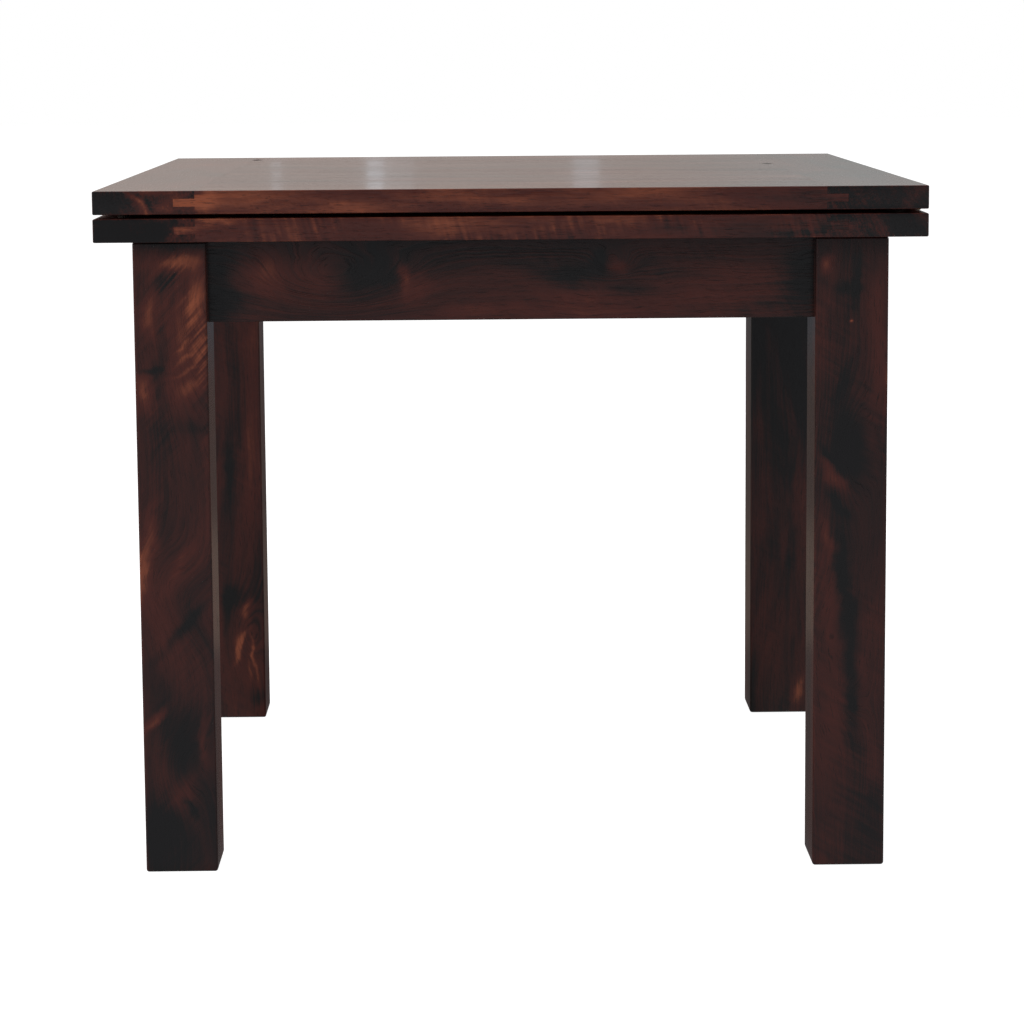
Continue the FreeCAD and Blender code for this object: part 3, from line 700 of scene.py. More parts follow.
BOLT_RADIUS = 0.004
BOLT_SPACING = 0.030
BOLT_IN_WOOD = 0.080
BOLT_IN_SIGHT = 0.0125
THREAD_PITCH = 0.00125
THREAD_DEPTH = 0.0007
THREAD_TURNS = 8
THREAD_SIDES = 20
WASHER_RADIUS = 0.010
WASHER_BORE = 0.0045
WASHER_THICKNESS = 0.002
WASHER_EDGE = 0.0003
NUT_ACROSS_FLATS = 0.013
NUT_THICKNESS = 0.0065
NUT_CHAMFER = math.radians(30)
BLOCK_THICKNESS = 0.028
BLOCK_SCREW_SPACING = 0.036
BLOCK_SCREW_IN_BLOCK = 0.014
BLOCK_SCREW = {"head": 0.0042, "shank": 0.0022, "length": 0.028}
RUNNER_WIDTH = 0.028
RUNNER_SCREW_INSET = 0.045
RUNNER_SCREW_IN_LEAF = 0.014
RUNNER_SCREW = {"head": 0.0048, "shank": 0.0025, "length": 0.050}


def metal(name, cloud, scratches, dull, bright, roughness, metallic, strength):
    """A cloudy metal with fine scratches. Cloud and scratches say how they drift over it, and
    roughness is what it has where it is dull and what bright clouds add."""
    finish, tree, shader, surface = new_finish(name)
    clouds = drifting(tree, surface["Object"], *cloud)
    tie_all(tree, shader, {
        "Base Color": mixed(tree, clouds, dull, bright), "Metallic": metallic,
        "Roughness": summed(tree, roughness[0], (clouds, roughness[1]))})
    roughened(tree, shader, drifting(tree, surface["Object"], *scratches), strength, depth=0.0001)
    return finish


def turned(outline, sides=32):
    """A round piece: an outline of radii and heights, spun about Z."""
    shape = bmesh.new()
    points = [shape.verts.new((radius, 0, height)) for radius, height in outline]
    lines = [shape.edges.new(pair) for pair in zip(points, points[1:])]
    bmesh.ops.spin(
        shape, geom=points + lines, cent=(0, 0, 0), axis=(0, 0, 1), angle=2 * math.pi, steps=sides,
        use_merge=True)
    bmesh.ops.remove_doubles(shape, verts=shape.verts, dist=SAME_PLACE)
    bmesh.ops.recalc_face_normals(shape, faces=shape.faces)
    return shape


def screw_thread(radius, start):
    """A ridge of three sides wound about Z, upwards from a start, its root sunk into the core."""
    shape = bmesh.new()
    root = radius - 1.5 * THREAD_DEPTH
    half = 0.42 * THREAD_PITCH
    section = [(root, start - half), (radius, start), (root, start + half)]
    first = [shape.verts.new((out, 0, height)) for out, height in section]
    lines = [shape.edges.new((first[i], first[i - 1])) for i in range(3)]
    made = bmesh.ops.spin(
        shape, geom=first + lines, cent=(0, 0, 0), axis=(0, 0, 1),
        dvec=(0, 0, THREAD_PITCH / THREAD_SIDES), angle=2 * math.pi * THREAD_TURNS,
        steps=THREAD_SIDES * THREAD_TURNS)
    last = [part for part in made["geom_last"] if isinstance(part, bmesh.types.BMVert)]
    for end in (first, last):
        shape.faces.new(end)
    bmesh.ops.recalc_face_normals(shape, faces=shape.faces)
    return shape


def hanger_bolt():
    """A bolt along Z, plain in the wood and threaded where it takes the nut, which seats at 0."""
    core = BOLT_RADIUS - THREAD_DEPTH
    thread_from = BOLT_IN_SIGHT - (THREAD_TURNS + 1) * THREAD_PITCH
    bolt = turned([
        (0, -BOLT_IN_WOOD), (BOLT_RADIUS, -BOLT_IN_WOOD), (BOLT_RADIUS, thread_from - THREAD_PITCH),
        (core, thread_from), (core, BOLT_IN_SIGHT - THREAD_DEPTH), (core - THREAD_DEPTH, BOLT_IN_SIGHT),
        (0, BOLT_IN_SIGHT),
    ])
    return worked(bolt, "UNION", screw_thread(BOLT_RADIUS, thread_from + 0.2 * THREAD_PITCH))


def washer():
    """A flat ring whose outer edge is a little rounded by the punch."""
    return turned([
        (WASHER_BORE, 0), (WASHER_RADIUS - WASHER_EDGE, 0), (WASHER_RADIUS, WASHER_EDGE),
        (WASHER_RADIUS, WASHER_THICKNESS - WASHER_EDGE), (WASHER_RADIUS - WASHER_EDGE, WASHER_THICKNESS),
        (WASHER_BORE, WASHER_THICKNESS), (WASHER_BORE, 0),
    ])


def nut():
    """A hexagon with its corners turned off at both faces, bored for the bolt."""
    corner = NUT_ACROSS_FLATS / math.sqrt(3)
    hexagon = turned([(0, 0), (corner, 0), (corner, NUT_THICKNESS), (0, NUT_THICKNESS)], sides=6)
    face = 0.48 * NUT_ACROSS_FLATS
    wide = 1.02 * corner
    rise = (wide - face) * math.tan(NUT_CHAMFER)
    lathe = turned([
        (0, 0), (face, 0), (wide, rise), (wide, NUT_THICKNESS - rise), (face, NUT_THICKNESS),
        (0, NUT_THICKNESS),
    ])
    below, above = -0.001, 0.01
    drill = turned([(0, below), (BOLT_RADIUS, below), (BOLT_RADIUS, above), (0, above)])
    return worked(worked(hexagon, "INTERSECT", lathe), "DIFFERENCE", drill)


def wood_screw(head, shank, length, slots):
    """A countersunk screw along Z, its face at the origin, with one slot or a cross cut in it."""
    screw = turned([(0, 0), (head, 0), (shank, head - shank), (shank, length - 2 * shank), (0, length)])
    reach = 0.62 * head if slots > 1 else 1.1 * head
    half = 0.13 * head
    depth = 0.3 * head
    cuts = []
    for index in range(slots):
        cut = board_shape(Vector((-reach, -half, -half)), Vector((reach, half, depth)), 0)
        quarter = Matrix.Rotation(index * math.pi / 2, 3, "Z")
        bmesh.ops.rotate(cut, verts=cut.verts, cent=(0, 0, 0), matrix=quarter)
        cuts.append(cut)
    return worked(screw, "DIFFERENCE", *cuts)


def pointing(place, way):
    """Where a piece made along Z goes, if its foot is at a place and it points some way."""
    return Matrix.Translation(place) @ Vector(way).to_track_quat("Z", "Y").to_matrix().to_4x4()


def set_out(shape, places):
    """Copies of one small shape at several places, all in one piece."""
    pattern = bpy.data.meshes.new("pattern")
    shape.to_mesh(pattern)
    shape.free()
    whole = bmesh.new()
    for place in places:
        copy = pattern.copy()
        copy.transform(place)
        whole.from_mesh(copy)
        bpy.data.meshes.remove(copy)
    bpy.data.meshes.remove(pattern)
    return whole


QUARTER_TURNS = [Matrix.Rotation(quarter * math.pi / 2, 4, "Z") for quarter in range(4)]


def at_each_corner(places):
    """Places at the rear right corner, repeated at all four corners of the square frame."""
    return [turn @ place for turn in QUARTER_TURNS for place in places]


zinc_plated_steel = metal(
    "zinc_plated_steel", cloud=((260.0, 260.0, 260.0), 3.0), scratches=((2400.0, 300.0, 2400.0), 2.0),
    dull=(0.42, 0.42, 0.43, 1), bright=(0.72, 0.73, 0.74, 1), roughness=(0.22, 0.25), metallic=0.7,
    strength=0.2)
block_low, block_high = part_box("rear_right_corner_block")
block_middle = (block_low.z + block_high.z) / 2
seat = (block_low.x + block_high.y) / 2
inward = (-1, -1, 0)
for name, shape, raised in (
        ("hanger_bolts", hanger_bolt(), 0.0), ("hanger_bolt_washers", washer(), 0.0),
        ("hanger_bolt_nuts", nut(), WASHER_THICKNESS)):
    set_in = seat - raised / math.sqrt(2)
    heights = (block_middle - BOLT_SPACING / 2, block_middle + BOLT_SPACING / 2)
    places = at_each_corner([pointing((set_in, set_in, height), inward) for height in heights])
    finished(name + "_plated", set_out(shape, places), zinc_plated_steel, "base", "zinc_steel", name)

screw_along = block_low.x + BLOCK_THICKNESS / math.sqrt(2)
screw_head = block_high.y - BLOCK_SCREW_IN_BLOCK
corner_places = []
for height in (block_middle - BLOCK_SCREW_SPACING / 2, block_middle + BLOCK_SCREW_SPACING / 2):
    corner_places.append(pointing((screw_along, screw_head, height), (0, 1, 0)))
    corner_places.append(pointing((screw_head, screw_along, height), (1, 0, 0)))
block_screws = set_out(wood_screw(**BLOCK_SCREW, slots=2), at_each_corner(corner_places))
finished(
    "corner_block_screws_plated", block_screws, zinc_plated_steel, "base", "zinc_steel",
    "corner_block_screws")

places = []
for runner in ("front_runner", "rear_runner"):
    low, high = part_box(runner)
    inner = min(low.y, high.y, key=abs)
    across = inner + math.copysign(RUNNER_WIDTH / 2, inner)
    face = high.z + RUNNER_SCREW_IN_LEAF - RUNNER_SCREW["length"]
    for along in (low.x + RUNNER_SCREW_INSET, (low.x + high.x) / 2, high.x - RUNNER_SCREW_INSET):
        places.append(pointing((along, across, face), (0, 0, 1)))
runner_screws = set_out(wood_screw(**RUNNER_SCREW, slots=2), places)
finished(
    "runner_screws_plated", runner_screws, zinc_plated_steel, "lower_leaf", "zinc_steel", "runner_screws")

# Felts: strips of pressed wool glued along the tops of the front and rear aprons and pads on the
# ends of the legs, on which the lower leaf slides, and two dots that keep the closed leaves apart.
# They are cut with a knife, so their edges are soft and a little uneven.

FELT_EDGE = 0.0004
FELT_NAP = 0.00025
FELT_TUFTS_A_METRE = 330
STRIP_SCORING = (0.006, 0.004)
STRIP_SEED = 1.7
LEG_FELT_INSET = 0.012
LEG_FELT_CORNER = 0.012
LEG_FELT_SCORING = 0.007
LEG_FELT_SEED = 4.1
BUMPER_EDGE = 0.0007
BUMPER_SEED = 7.3


def wool_felt():
    """Pressed dark wool: worn tufts under a nap of lighter hairs."""
    finish, tree, shader, surface = new_finish("wool_felt")
    hairs = drifting(tree, surface["Object"], (1500.0, 1500.0, 1500.0), 4.0, 0.7)
    tufts = drifting(tree, surface["Object"], (180.0, 180.0, 180.0), 3.0)
    worn = mixed(tree, tufts, (0.018, 0.014, 0.012, 1), (0.050, 0.040, 0.034, 1))
    tie_all(tree, shader, {
        "Base Color": mixed(tree, hairs, worn, (0.075, 0.062, 0.054, 1)), "Roughness": 1.0,
        "Sheen Weight": 0.4})
    roughened(tree, shader, hairs, strength=0.9, depth=0.0006)
    return finish


def felted(shape, seed):
    """Sinks the surface here and there, so that cut felt is nowhere quite flat or straight."""
    shape.normal_update()
    for vert in shape.verts:
        tuft = noise.noise((vert.co + Vector((seed, seed, seed))) * FELT_TUFTS_A_METRE)
        vert.co -= vert.normal * FELT_NAP * (0.5 + 0.5 * tuft)
    return shape


felt = wool_felt()
for side in ("front", "rear"):
    node = side + "_felt_strip"
    strip = board_shape(*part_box(node), 0)
    for axis, step in enumerate(STRIP_SCORING):
        scored(strip, axis, step)
    ease(strip, sharp_edges(strip), FELT_EDGE)
    made = finished(node + "_wool", felted(strip, STRIP_SEED), felt, "base", "felt", node)

leg_low, leg_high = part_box("rear_right_leg")
near = leg_low.x + LEG_FELT_INSET
far = leg_high.x - LEG_FELT_INSET
felt_low, felt_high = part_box("leg_top_felts")
plan = [
    (near + LEG_FELT_CORNER, near), (far, near), (far, far), (near, far), (near, near + LEG_FELT_CORNER)]
pad = drawn_out([(x, y, felt_low.z) for x, y in plan], Vector((0, 0, felt_high.z - felt_low.z)))
for axis in (0, 1):
    scored(pad, axis, LEG_FELT_SCORING)
ease(pad, sharp_edges(pad), FELT_EDGE)
pads = set_out(felted(pad, LEG_FELT_SEED), QUARTER_TURNS)
finished("leg_top_felts_wool", pads, felt, "base", "felt", "leg_top_felts")

dot_low, dot_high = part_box("leaf_bumpers")
tall = dot_high.z - dot_low.z
radius = (dot_high.x - dot_low.x) / 2
dot = turned([
    (0, 0), (0.5 * radius, 0), (radius, 0), (radius, 0.5 * tall), (radius, tall - BUMPER_EDGE),
    (radius - BUMPER_EDGE, tall), (0.5 * radius, tall), (0, tall),
])
spots = [(dot_low.x + radius, across, dot_low.z) for across in (dot_low.y + radius, dot_high.y - radius)]
dots = set_out(felted(dot, BUMPER_SEED), [Matrix.Translation(spot) for spot in spots])
finished("leaf_bumpers_wool", dots, felt, "lower_leaf", "felt", "leaf_bumpers")

# Lower and upper leaf: six planks each, edge-glued side by side, with a tongue along both ends that
# sits in the groove of a cross board, whose own grain runs front to back. The end grain of the
# cross boards drank the stain and is nearly black; the long edges of the planks stayed redder.

FRONT_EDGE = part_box("upper_plank_1")[0].y
LEAF_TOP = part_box("upper_plank_1")[1].z
LEAF_ARRIS = 0.0016
SEAM_ARRIS = 0.0002
SHOULDER_ARRIS = 0.0005
LEAF_SWAY = 0.00006
LEAF_RUB = 0.00025
PLANK_COUNT = 6
PLANK_SCORING = (0.05, 0.025)
PLANK_CUPPING = (-0.00010, -0.00017, 0.00026, -0.00030, 0.00029, -0.00022)
PLANK_GLOSS = (0.06, 0.09, 0.06, 0.10, 0.07, 0.13)
CROSS_BOARD_SCORING = 0.05
TONGUE_LENGTH = 0.023
TONGUE_THICKNESS = 0.0085
GROOVE_ROOM = 0.0001
HAIR = 1e-5


def plank_shape(low, high, shoulder):
    """A plank with a tongue at each end, its outline drawn out from front to rear."""
    middle = (low.z + high.z) / 2
    tongue = (middle - TONGUE_THICKNESS / 2, middle + TONGUE_THICKNESS / 2)
    reach = shoulder + TONGUE_LENGTH
    right_end = [
        (shoulder, low.z), (shoulder, tongue[0]), (reach, tongue[0]),
        (reach, tongue[1]), (shoulder, tongue[1]), (shoulder, high.z),
    ]
    left_end = [(-x, z) for x, z in reversed(right_end)]
    outline = [Vector((x, low.y, z)) for x, z in right_end + left_end]
    return drawn_out(outline, Vector((0, high.y - low.y, 0)))


def cross_board_shape(low, high):
    """A board across the ends of the planks, grooved along its inner edge."""
    middle = (low.z + high.z) / 2
    half = TONGUE_THICKNESS / 2 + GROOVE_ROOM
    inner = min(low.x, high.x, key=abs)
    outer = max(low.x, high.x, key=abs)
    floor = inner + math.copysign(TONGUE_LENGTH + GROOVE_ROOM, outer)
    outline = [
        (inner, low.z), (outer, low.z), (outer, high.z), (inner, high.z),
        (inner, middle + half), (floor, middle + half), (floor, middle - half), (inner, middle - half),
    ]
    return drawn_out([Vector((x, low.y, z)) for x, z in outline], Vector((0, high.y - low.y, 0)))


def ease_leaf_board(shape, low, high, half_width, half_length):
    """Rounds the leaf's outer edges over and breaks the arrises along the glue lines."""
    def near(value, limit):
        return abs(abs(value) - limit) < HAIR

    def on_face(place):
        return near(place.z, low.z) or near(place.z, high.z)

    def on_side(place):
        return near(place.y, half_width)

    def on_end(place):
        return near(place.x, half_length)

    def edges_where(*tests):
        return [
            edge for edge in sharp_edges(shape)
            if all(test(vert.co) for vert in edge.verts for test in tests)]

    def off_rim(place):
        return not on_side(place) and not on_end(place)

    rim = edges_where(on_side, on_end) + edges_where(on_side, on_face) + edges_where(on_end, on_face)
    ease(shape, list(set(rim)), LEAF_ARRIS)
    shoulders = [edge for edge in edges_where(on_face, off_rim) if not runs_along(edge, 0)]
    ease(shape, shoulders, SHOULDER_ARRIS)
    seams = [edge for edge in edges_where(on_face, off_rim) if runs_along(edge, 0)]
    ease(shape, seams, SEAM_ARRIS)


def cup(shape, low, high, rise):
    """Lets a plank's upper face rise or sink a hair between its edges, as wide boards do in drying."""
    middle = (low.y + high.y) / 2
    half = (high.y - low.y) / 2
    for vert in shape.verts:
        if vert.co.z > high.z - HAIR:
            vert.co.z += rise * (1 - ((vert.co.y - middle) / half) ** 2)


HINGE_AXIS = Vector((0.4505, 0, 0.73425))
HINGE_PLACES = [sum(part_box(name + "_hinge_pin"), Vector()).y / 2 for name in ("front", "middle", "rear")]
BARREL_ROOM = 0.00425
BARREL_SPARE = 0.001
RECESS_LENGTH = 0.0802
RECESS_BACK = 0.42115
RECESS_DEPTH = 0.0015
CHISEL_ROOM = 0.01


def hinge_recess(across, floor, sky):
    """What is chopped out for one hinge: a shallow bed for the plate and a hollow for the barrel."""
    bed = board_shape(
        Vector((RECESS_BACK, across - RECESS_LENGTH / 2, floor)),
        Vector((HINGE_AXIS.x + BARREL_ROOM, across + RECESS_LENGTH / 2, sky)), 0)
    barrel = bmesh.new()
    turn = Matrix.Rotation(math.pi / 2, 4, "X")
    bmesh.ops.create_cone(
        barrel, cap_ends=True, segments=32, radius1=BARREL_ROOM, radius2=BARREL_ROOM,
        depth=RECESS_LENGTH + BARREL_SPARE,
        matrix=Matrix.Translation((HINGE_AXIS.x, across, HINGE_AXIS.z)) @ turn)
    return bed, barrel


LEVEL_MARK_DEPTH = 0.02
SATIN_WHERE_LEAVES_MEET = [((0, 0, HINGE_AXIS.z), (5.0, 5.0, 0.004), 0.35, 0.0)]
LEAF_LOOKS = {"coat": 0.03, "waves": 6.0, "lean": (1.5, 0.9, 0.85)}


def level_marks(face, **kinds):
    """Marks on a level face, kind by kind. A row is a centre and a size in millimetres, each in X and
    Y, and a strength."""
    def mark(x, y, wide, deep, strength):
        return (x / 1000, y / 1000, face), (wide / 1000, deep / 1000, LEVEL_MARK_DEPTH), strength, 0.0

    return {kind: [mark(*row) for row in rows] for kind, rows in kinds.items()}


LEAF_CUTS = {
    "lower": {
        "body": "lower_leaf",
        "plank_seed": 60.0, "cross_board_seed": 120.0,
        "plank_1": {
            "tone": 0.47, "curl": 2.0, "lean": (1.1, 0.9, 0.3),
            **upright_marks(
                FRONT_EDGE,
                glow=[
                    (-349, 720, 13, 6, 0.30), (-312, 730, 26, 4, 0.30), (-79, 724, 50, 12, 0.22),
                    (100, 728, 60, 6, 0.16), (-10, 720, 120, 20, 0.08),
                ],
                shade=[(330, 712, 60, 8, 0.2), (-240, 720, 100, 20, 0.18)]),
        },
        "left_cross_board": {
            "tone": 0.40, "drink": 0.9,
            **upright_marks(
                FRONT_EDGE,
                matt=[(-400, 720, 80, 50, 0.40)],
                shade=[(-425, 720, 45, 30, 0.16)]),
        },
        "right_cross_board": {"tone": 0.40, "drink": 0.8},
    },
    "upper": {
        "body": "upper_leaf",
        "plank_seed": 30.0, "cross_board_seed": 90.0,
        "plank_1": {
            "tone": 0.57, "curl": 0.25,
            **upright_marks(
                FRONT_EDGE,
                glow=[
                    (-348, 746, 14, 8, 0.42), (-330, 752, 14, 12, 0.42), (-282, 749, 53, 14, 0.10),
                    (7, 745, 21, 9, 0.22), (-180, 742, 30, 6, 0.16), (120, 756, 50, 6, 0.14),
                    (-20, 749, 140, 20, 0.09),
                ],
                shade=[
                    # The first row darkens the right part of the edge: partly the wood's own colour, partly
                    # painted shade away from the light on the left.
                    (300, 749, 140, 20, 0.40), (-340, 761, 10, 6, 0.40), (-341, 738, 6, 5, 0.30),
                    (350, 740, 14, 8, 0.30),
                ]),
        },
        "plank_2": level_marks(
            LEAF_TOP,
            matt=[(200, -246, 180, 6, 0.20), (-210, -254, 130, 6, 0.15)]),
        "plank_4": level_marks(
            LEAF_TOP,
            figure=[(334, 140, 30, 30, 0.030)],
            shade=[(334, 140, 7, 16, 0.50)],
            matt=[(334, 140, 7, 22, 0.50)]),
        "plank_6": level_marks(
            LEAF_TOP,
            figure=[(-334, 370, 30, 30, 0.030)],
            shade=[(-334, 370, 6, 16, 0.50)],
            matt=[(-334, 370, 6, 22, 0.50), (150, 360, 220, 40, 0.05)]),
        "left_cross_board": {
            "tone": 0.40, "drink": 0.5,
            **upright_marks(
                FRONT_EDGE,
                glow=[
                    (-402, 749, 3.5, 20, 0.44, 43), (-375, 743, 13, 5, 0.34), (-379, 760, 24, 3, 0.26),
                    (-360, 752, 8, 8, 0.26),
                ],
                shade=[(-440, 749, 24, 30, 0.24), (-393, 749, 3, 20, 0.20, 43)]),
        },
        "right_cross_board": {
            "tone": 0.40, "drink": 0.95,
            **upright_marks(FRONT_EDGE, shade=[(400, 749, 80, 30, 0.14)]),
        },
    },
}


def lay(node, part, cuts, shape, along, slot, **looks):
    """Finishes one board of a leaf, in its own looks and those that its leaf's cuts add."""
    looks = {**looks, **LEAF_LOOKS, **cuts.get(part, {})}
    looks["matt"] = SATIN_WHERE_LEAVES_MEET + looks.get("matt", [])
    finish = stained_wood("stained_" + node, along, 1 - along, **looks)
    finished(node + "_stained", shape, finish, cuts["body"], slot, node)


for leaf, cuts in LEAF_CUTS.items():
    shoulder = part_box(leaf + "_right_cross_board")[0].x
    half_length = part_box(leaf + "_right_cross_board")[1].x
    half_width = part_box(leaf + "_right_cross_board")[1].y
    for index in range(PLANK_COUNT):
        part = "plank_" + str(index + 1)
        node = leaf + "_" + part
        low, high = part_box(node)
        plank = plank_shape(low, high, shoulder)
        for axis, step in enumerate(PLANK_SCORING):
            scored(plank, axis, step)
        ease_leaf_board(plank, low, high, half_width, half_length)
        seed = 1.7 * index + cuts["plank_seed"]
        plane_by_hand(plank, LEAF_SWAY, LEAF_RUB, seed)
        cup(plank, low, high, PLANK_CUPPING[index])
        lay(
            node, part, cuts, plank, 0, "plank_wood", cut=(seed, 0.31 * index, 0.17 * index),
            tone=0.40 + 0.05 * math.sin(2.1 * seed), curl=0.5, gloss=PLANK_GLOSS[index])
    for side, seed in (("left", cuts["cross_board_seed"] + 7.0), ("right", cuts["cross_board_seed"] + 3.0)):
        part = side + "_cross_board"
        node = leaf + "_" + part
        low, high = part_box(node)
        board = cross_board_shape(low, high)
        scored(board, 1, CROSS_BOARD_SCORING)
        ease_leaf_board(board, low, high, half_width, half_length)
        plane_by_hand(board, LEAF_SWAY, LEAF_RUB, seed)
        if side == "right":
            bed = (high.z - RECESS_DEPTH, high.z + CHISEL_ROOM)
            if leaf == "upper":
                bed = (low.z - CHISEL_ROOM, low.z + RECESS_DEPTH)
            tools = [tool for across in HINGE_PLACES for tool in hinge_recess(across, *bed)]
            board = worked(board, "DIFFERENCE", *tools)
        lay(node, part, cuts, board, 1, "cross_board_wood", cut=(seed, 0.4, 0.3), curl=0.4, gloss=0.08)

# Hinges: three brass butt hinges let into the facing sides of the leaves at the right edge, each
# with five knuckles on a steel pin, and three slotted brass screws to a plate.

HINGE_SCREW = {"head": 0.0032, "shank": 0.00175, "length": 0.016}
HINGE_SCREW_LINE = 0.01675
HINGE_SCREW_STEP = 0.027

brass = metal(
    "drawn_brass", cloud=((120.0, 120.0, 120.0), 4.0, 0.6), scratches=((3000.0, 60.0, 3000.0), 2.0),
    dull=(0.16, 0.095, 0.035, 1), bright=(0.46, 0.30, 0.11, 1), roughness=(0.15, 0.3), metallic=1.0,
    strength=0.25)
for place_on_edge in ("front", "middle", "rear"):
    dress(brass, place_on_edge + "_hinge_lower_plate", place_on_edge + "_hinge_upper_plate")
    dress(zinc_plated_steel, place_on_edge + "_hinge_pin")
lower_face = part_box("middle_hinge_lower_plate")[0].z + RECESS_DEPTH
for leaf, way, face in (("lower", -1, lower_face), ("upper", 1, 2 * HINGE_AXIS.z - lower_face)):
    places = [
        pointing((HINGE_AXIS.x - HINGE_SCREW_LINE, across + step, face), (0, 0, way))
        for across in HINGE_PLACES for step in (-HINGE_SCREW_STEP, 0, HINGE_SCREW_STEP)]
    node = leaf + "_hinge_screws"
    screws = set_out(wood_screw(**HINGE_SCREW, slots=1), places)
    finished(node + "_brass", screws, brass, leaf + "_leaf", "brass", node)

# The stage: a plain pale floor that runs back to a pale room, soft light from the left and front,
# dimmer walls behind, and four tall windows there that draw streaks on the polished top.

FLOOR_HALF = 30.0
FLOOR_PALE = (0.45, 0.45, 0.45, 1)
FLOOR_LIT = 0.90
FARTHEST_IN_FRONT = (0.40, 0.41, 0.43, 1)
# The painted shadow of the table on the floor, in what the table mirrors of it.
PAINTED_SHADOW_UNDER_TABLE = (0.10, 0.074, 0.071, 1)
BESIDE_TABLE = (0.195, 0.215, 0.222, 1)
TABLE_SIDE = (0.31, 0.37)


def shading(tree, kind, **terms):
    """A shader node with its inputs tied by name; returns what it puts out."""
    node = tree.nodes.new(kind)
    tie_all(tree, node.inputs, terms)
    return node.outputs[0]


def show(tree, mirrored, seen, output):
    """Shows the camera one shader and whatever mirrors it another."""
    choice = tree.nodes.new("ShaderNodeMixShader")
    sight = tree.nodes.new("ShaderNodeLightPath").outputs["Is Camera Ray"]
    for socket, term in zip(choice.inputs, (sight, mirrored, seen)):
        tie(tree, socket, term)
    tie(tree, output.inputs["Surface"], choice.outputs[0])


def pale_floor():
    """White to the eye. What the table mirrors of it is dimmer: cool in front, a painted shadow of the
    table under it, lighter beside it, warm behind it and cool again far off."""
    finish = bpy.data.materials.new("pale_floor")
    finish.use_nodes = True
    tree = finish.node_tree
    tree.nodes.remove(tree.nodes["Principled BSDF"])
    sideways, backward, _ = parted(tree, tree.nodes.new("ShaderNodeTexCoord").outputs["Object"])
    beside = ramped(tree, reckoned(tree, "ABSOLUTE", sideways), *TABLE_SIDE)
    bands = FARTHEST_IN_FRONT
    for start, end, colour in (
            (-11.0, -8.0, (0.28, 0.29, 0.31, 1)),
            (-0.46, -0.36, mixed(tree, beside, PAINTED_SHADOW_UNDER_TABLE, BESIDE_TABLE)),
            (0.68, 0.92, (0.195, 0.140, 0.117, 1)),
            (1.6, 2.2, (0.11, 0.080, 0.072, 1)),
            (4.0, 6.0, (0.10, 0.104, 0.118, 1))):
        bands = mixed(tree, ramped(tree, backward, start, end), bands, colour)
    both = tree.nodes.new("ShaderNodeAddShader")
    tie(tree, both.inputs[0], shading(tree, "ShaderNodeBsdfDiffuse", Color=FLOOR_PALE))
    tie(tree, both.inputs[1], shading(tree, "ShaderNodeEmission", Strength=FLOOR_LIT))
    mirrored = shading(tree, "ShaderNodeEmission", Color=bands)
    show(tree, mirrored, both.outputs[0], tree.nodes["Material Output"])
    return finish


scene = bpy.context.scene
ground = bmesh.new()
bmesh.ops.create_grid(ground, x_segments=1, y_segments=1, size=FLOOR_HALF)
ground_mesh = bpy.data.meshes.new("floor")
ground.to_mesh(ground_mesh)
ground.free()
ground_mesh.materials.append(pale_floor())
floor = bpy.data.objects.new("floor", ground_mesh)
scene.collection.objects.link(floor)

ROOM_IN_FRONT = (0.88, 0.97, 1.08, 1)
ROOM_BEHIND_LEFT = (0.985, 0.870, 0.805, 1)
ROOM_BEHIND_RIGHT = (1.0, 1.03, 1.01, 1)
scene.view_settings.view_transform = "Standard"
world = bpy.data.worlds.new("pale_room")
scene.world = world
world.use_nodes = True
room = world.node_tree
room.nodes.clear()
rightward, backward, upward = parted(room, room.nodes.new("ShaderNodeTexCoord").outputs["Generated"])
behind = ramped(room, backward, -0.6, 0.8)
skyline = ramped(room, upward, -0.10, 0.24)
wall = summed(room, 0.05, (skyline, 0.64), (rightward, -0.35))
brightness = summed(room, 0.07, (behind, wall), (ramped(room, upward, 0.0, 0.6), 0.16))
wall_colour = mixed(room, ramped(room, rightward, 0.05, 0.14), ROOM_BEHIND_LEFT, ROOM_BEHIND_RIGHT)
surroundings = shading(
    room, "ShaderNodeBackground", Color=mixed(room, behind, ROOM_IN_FRONT, wall_colour),
    Strength=brightness)
backdrop = shading(room, "ShaderNodeBackground", Color=(1, 1, 1, 1), Strength=1.0)
show(room, surroundings, backdrop, room.nodes.new("ShaderNodeOutputWorld"))


def soft_light(name, place, target, width, height, power, colour=(1.0, 1.0, 1.0), mirrored=False):
    """A flat lamp that faces a target and doesn't show in the picture, or only on polished faces."""
    lamp = bpy.data.lights.new(name, "AREA")
    lamp.shape = "RECTANGLE"
    lamp.size = width
    lamp.size_y = height
    lamp.energy = power
    lamp.color = colour
    made = bpy.data.objects.new(name, lamp)
    made.location = place
    made.rotation_euler = (Vector(target) - Vector(place)).to_track_quat("-Z", "Y").to_euler()
    made.visible_camera = False
    made.visible_glossy = mirrored
    scene.collection.objects.link(made)


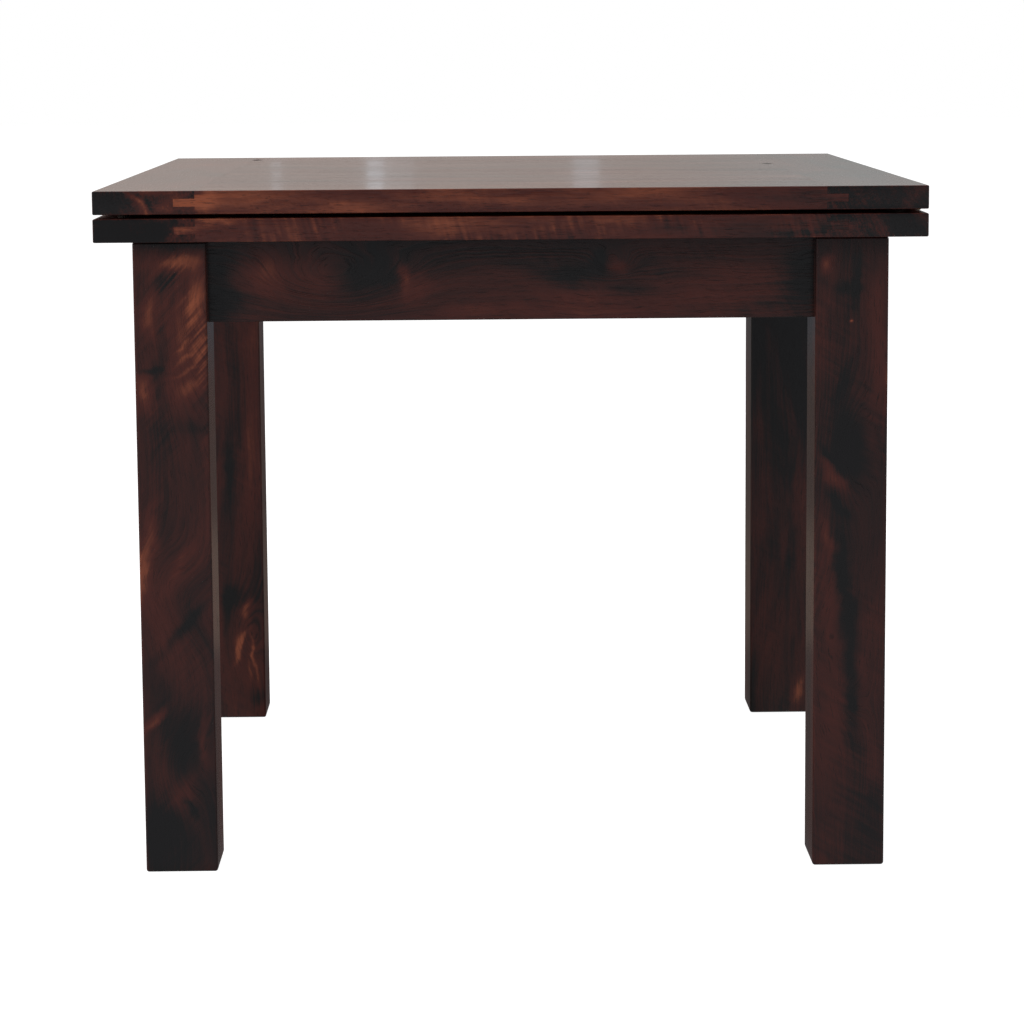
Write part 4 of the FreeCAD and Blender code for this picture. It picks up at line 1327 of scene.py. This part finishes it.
soft_light("left_softbox", (-2.7, -2.2, 1.4), (-0.2, -0.4, 0.5), 1.2, 1.2, 68.0, (1.0, 0.97, 0.93))
soft_light("right_softbox", (2.8, -2.2, 1.5), (0.2, -0.4, 0.5), 1.2, 1.2, 28.0)
soft_light("overhead_softbox", (-0.4, -0.2, 3.2), (0.0, 0.0, 0.0), 2.4, 2.4, 20.0)
soft_light("rear_softbox", (1.6, 3.4, 1.9), (0.0, 0.4, 0.5), 1.6, 1.6, 40.0)

PHOTOGRAPHER = Vector((-0.038, -3.56, 0.9))
WINDOW_DISTANCE = 5.44
WINDOW_MIDDLE = 1.6
WINDOW_HEIGHT = 2.0
WINDOW_COLOUR = (0.70, 0.86, 1.0)
WINDOWS = ((-3.95, 0.03, 0.025), (-2.00, 0.05, 0.07), (-1.72, 0.15, 0.06), (2.17, 0.08, 0.08))
for number, (bearing, width, power) in enumerate(WINDOWS):
    aside = (WINDOW_DISTANCE - PHOTOGRAPHER.y) * math.tan(math.radians(bearing))
    window = (PHOTOGRAPHER.x + aside, WINDOW_DISTANCE, WINDOW_MIDDLE)
    soft_light(
        "window_" + str(number + 1), window, PHOTOGRAPHER, width, WINDOW_HEIGHT, power, WINDOW_COLOUR,
        mirrored=True)

# The camera, where the photographer stood: square on, a little above the top, with a long lens
# whose picture was cropped lower than its middle.

CAMERA_PLACE = Vector((-0.03623, -3.55906, 0.91700))
PITCH = math.radians(7.08)
YAW = math.radians(0.655)
ROLL = math.radians(0.408)
PICTURE_SIZE = 1024
FOCAL_PIXELS = 2891.71
AXIS_ROW = 401.98
SENSOR_WIDTH = 36.0

ahead = Vector((math.sin(YAW) * math.cos(PITCH), math.cos(YAW) * math.cos(PITCH), -math.sin(PITCH)))
level = Vector((math.cos(YAW), -math.sin(YAW), 0))
upright = level.cross(ahead)
right = math.cos(ROLL) * level - math.sin(ROLL) * upright
up = math.sin(ROLL) * level + math.cos(ROLL) * upright
lens = bpy.data.cameras.new("camera")
lens.sensor_width = SENSOR_WIDTH
lens.lens = FOCAL_PIXELS / PICTURE_SIZE * SENSOR_WIDTH
lens.shift_y = (AXIS_ROW - PICTURE_SIZE / 2) / PICTURE_SIZE
camera = bpy.data.objects.new("camera", lens)
turn = Matrix((right, up, -ahead)).transposed()
camera.matrix_world = Matrix.Translation(CAMERA_PLACE) @ turn.to_4x4()
scene.collection.objects.link(camera)
scene.camera = camera
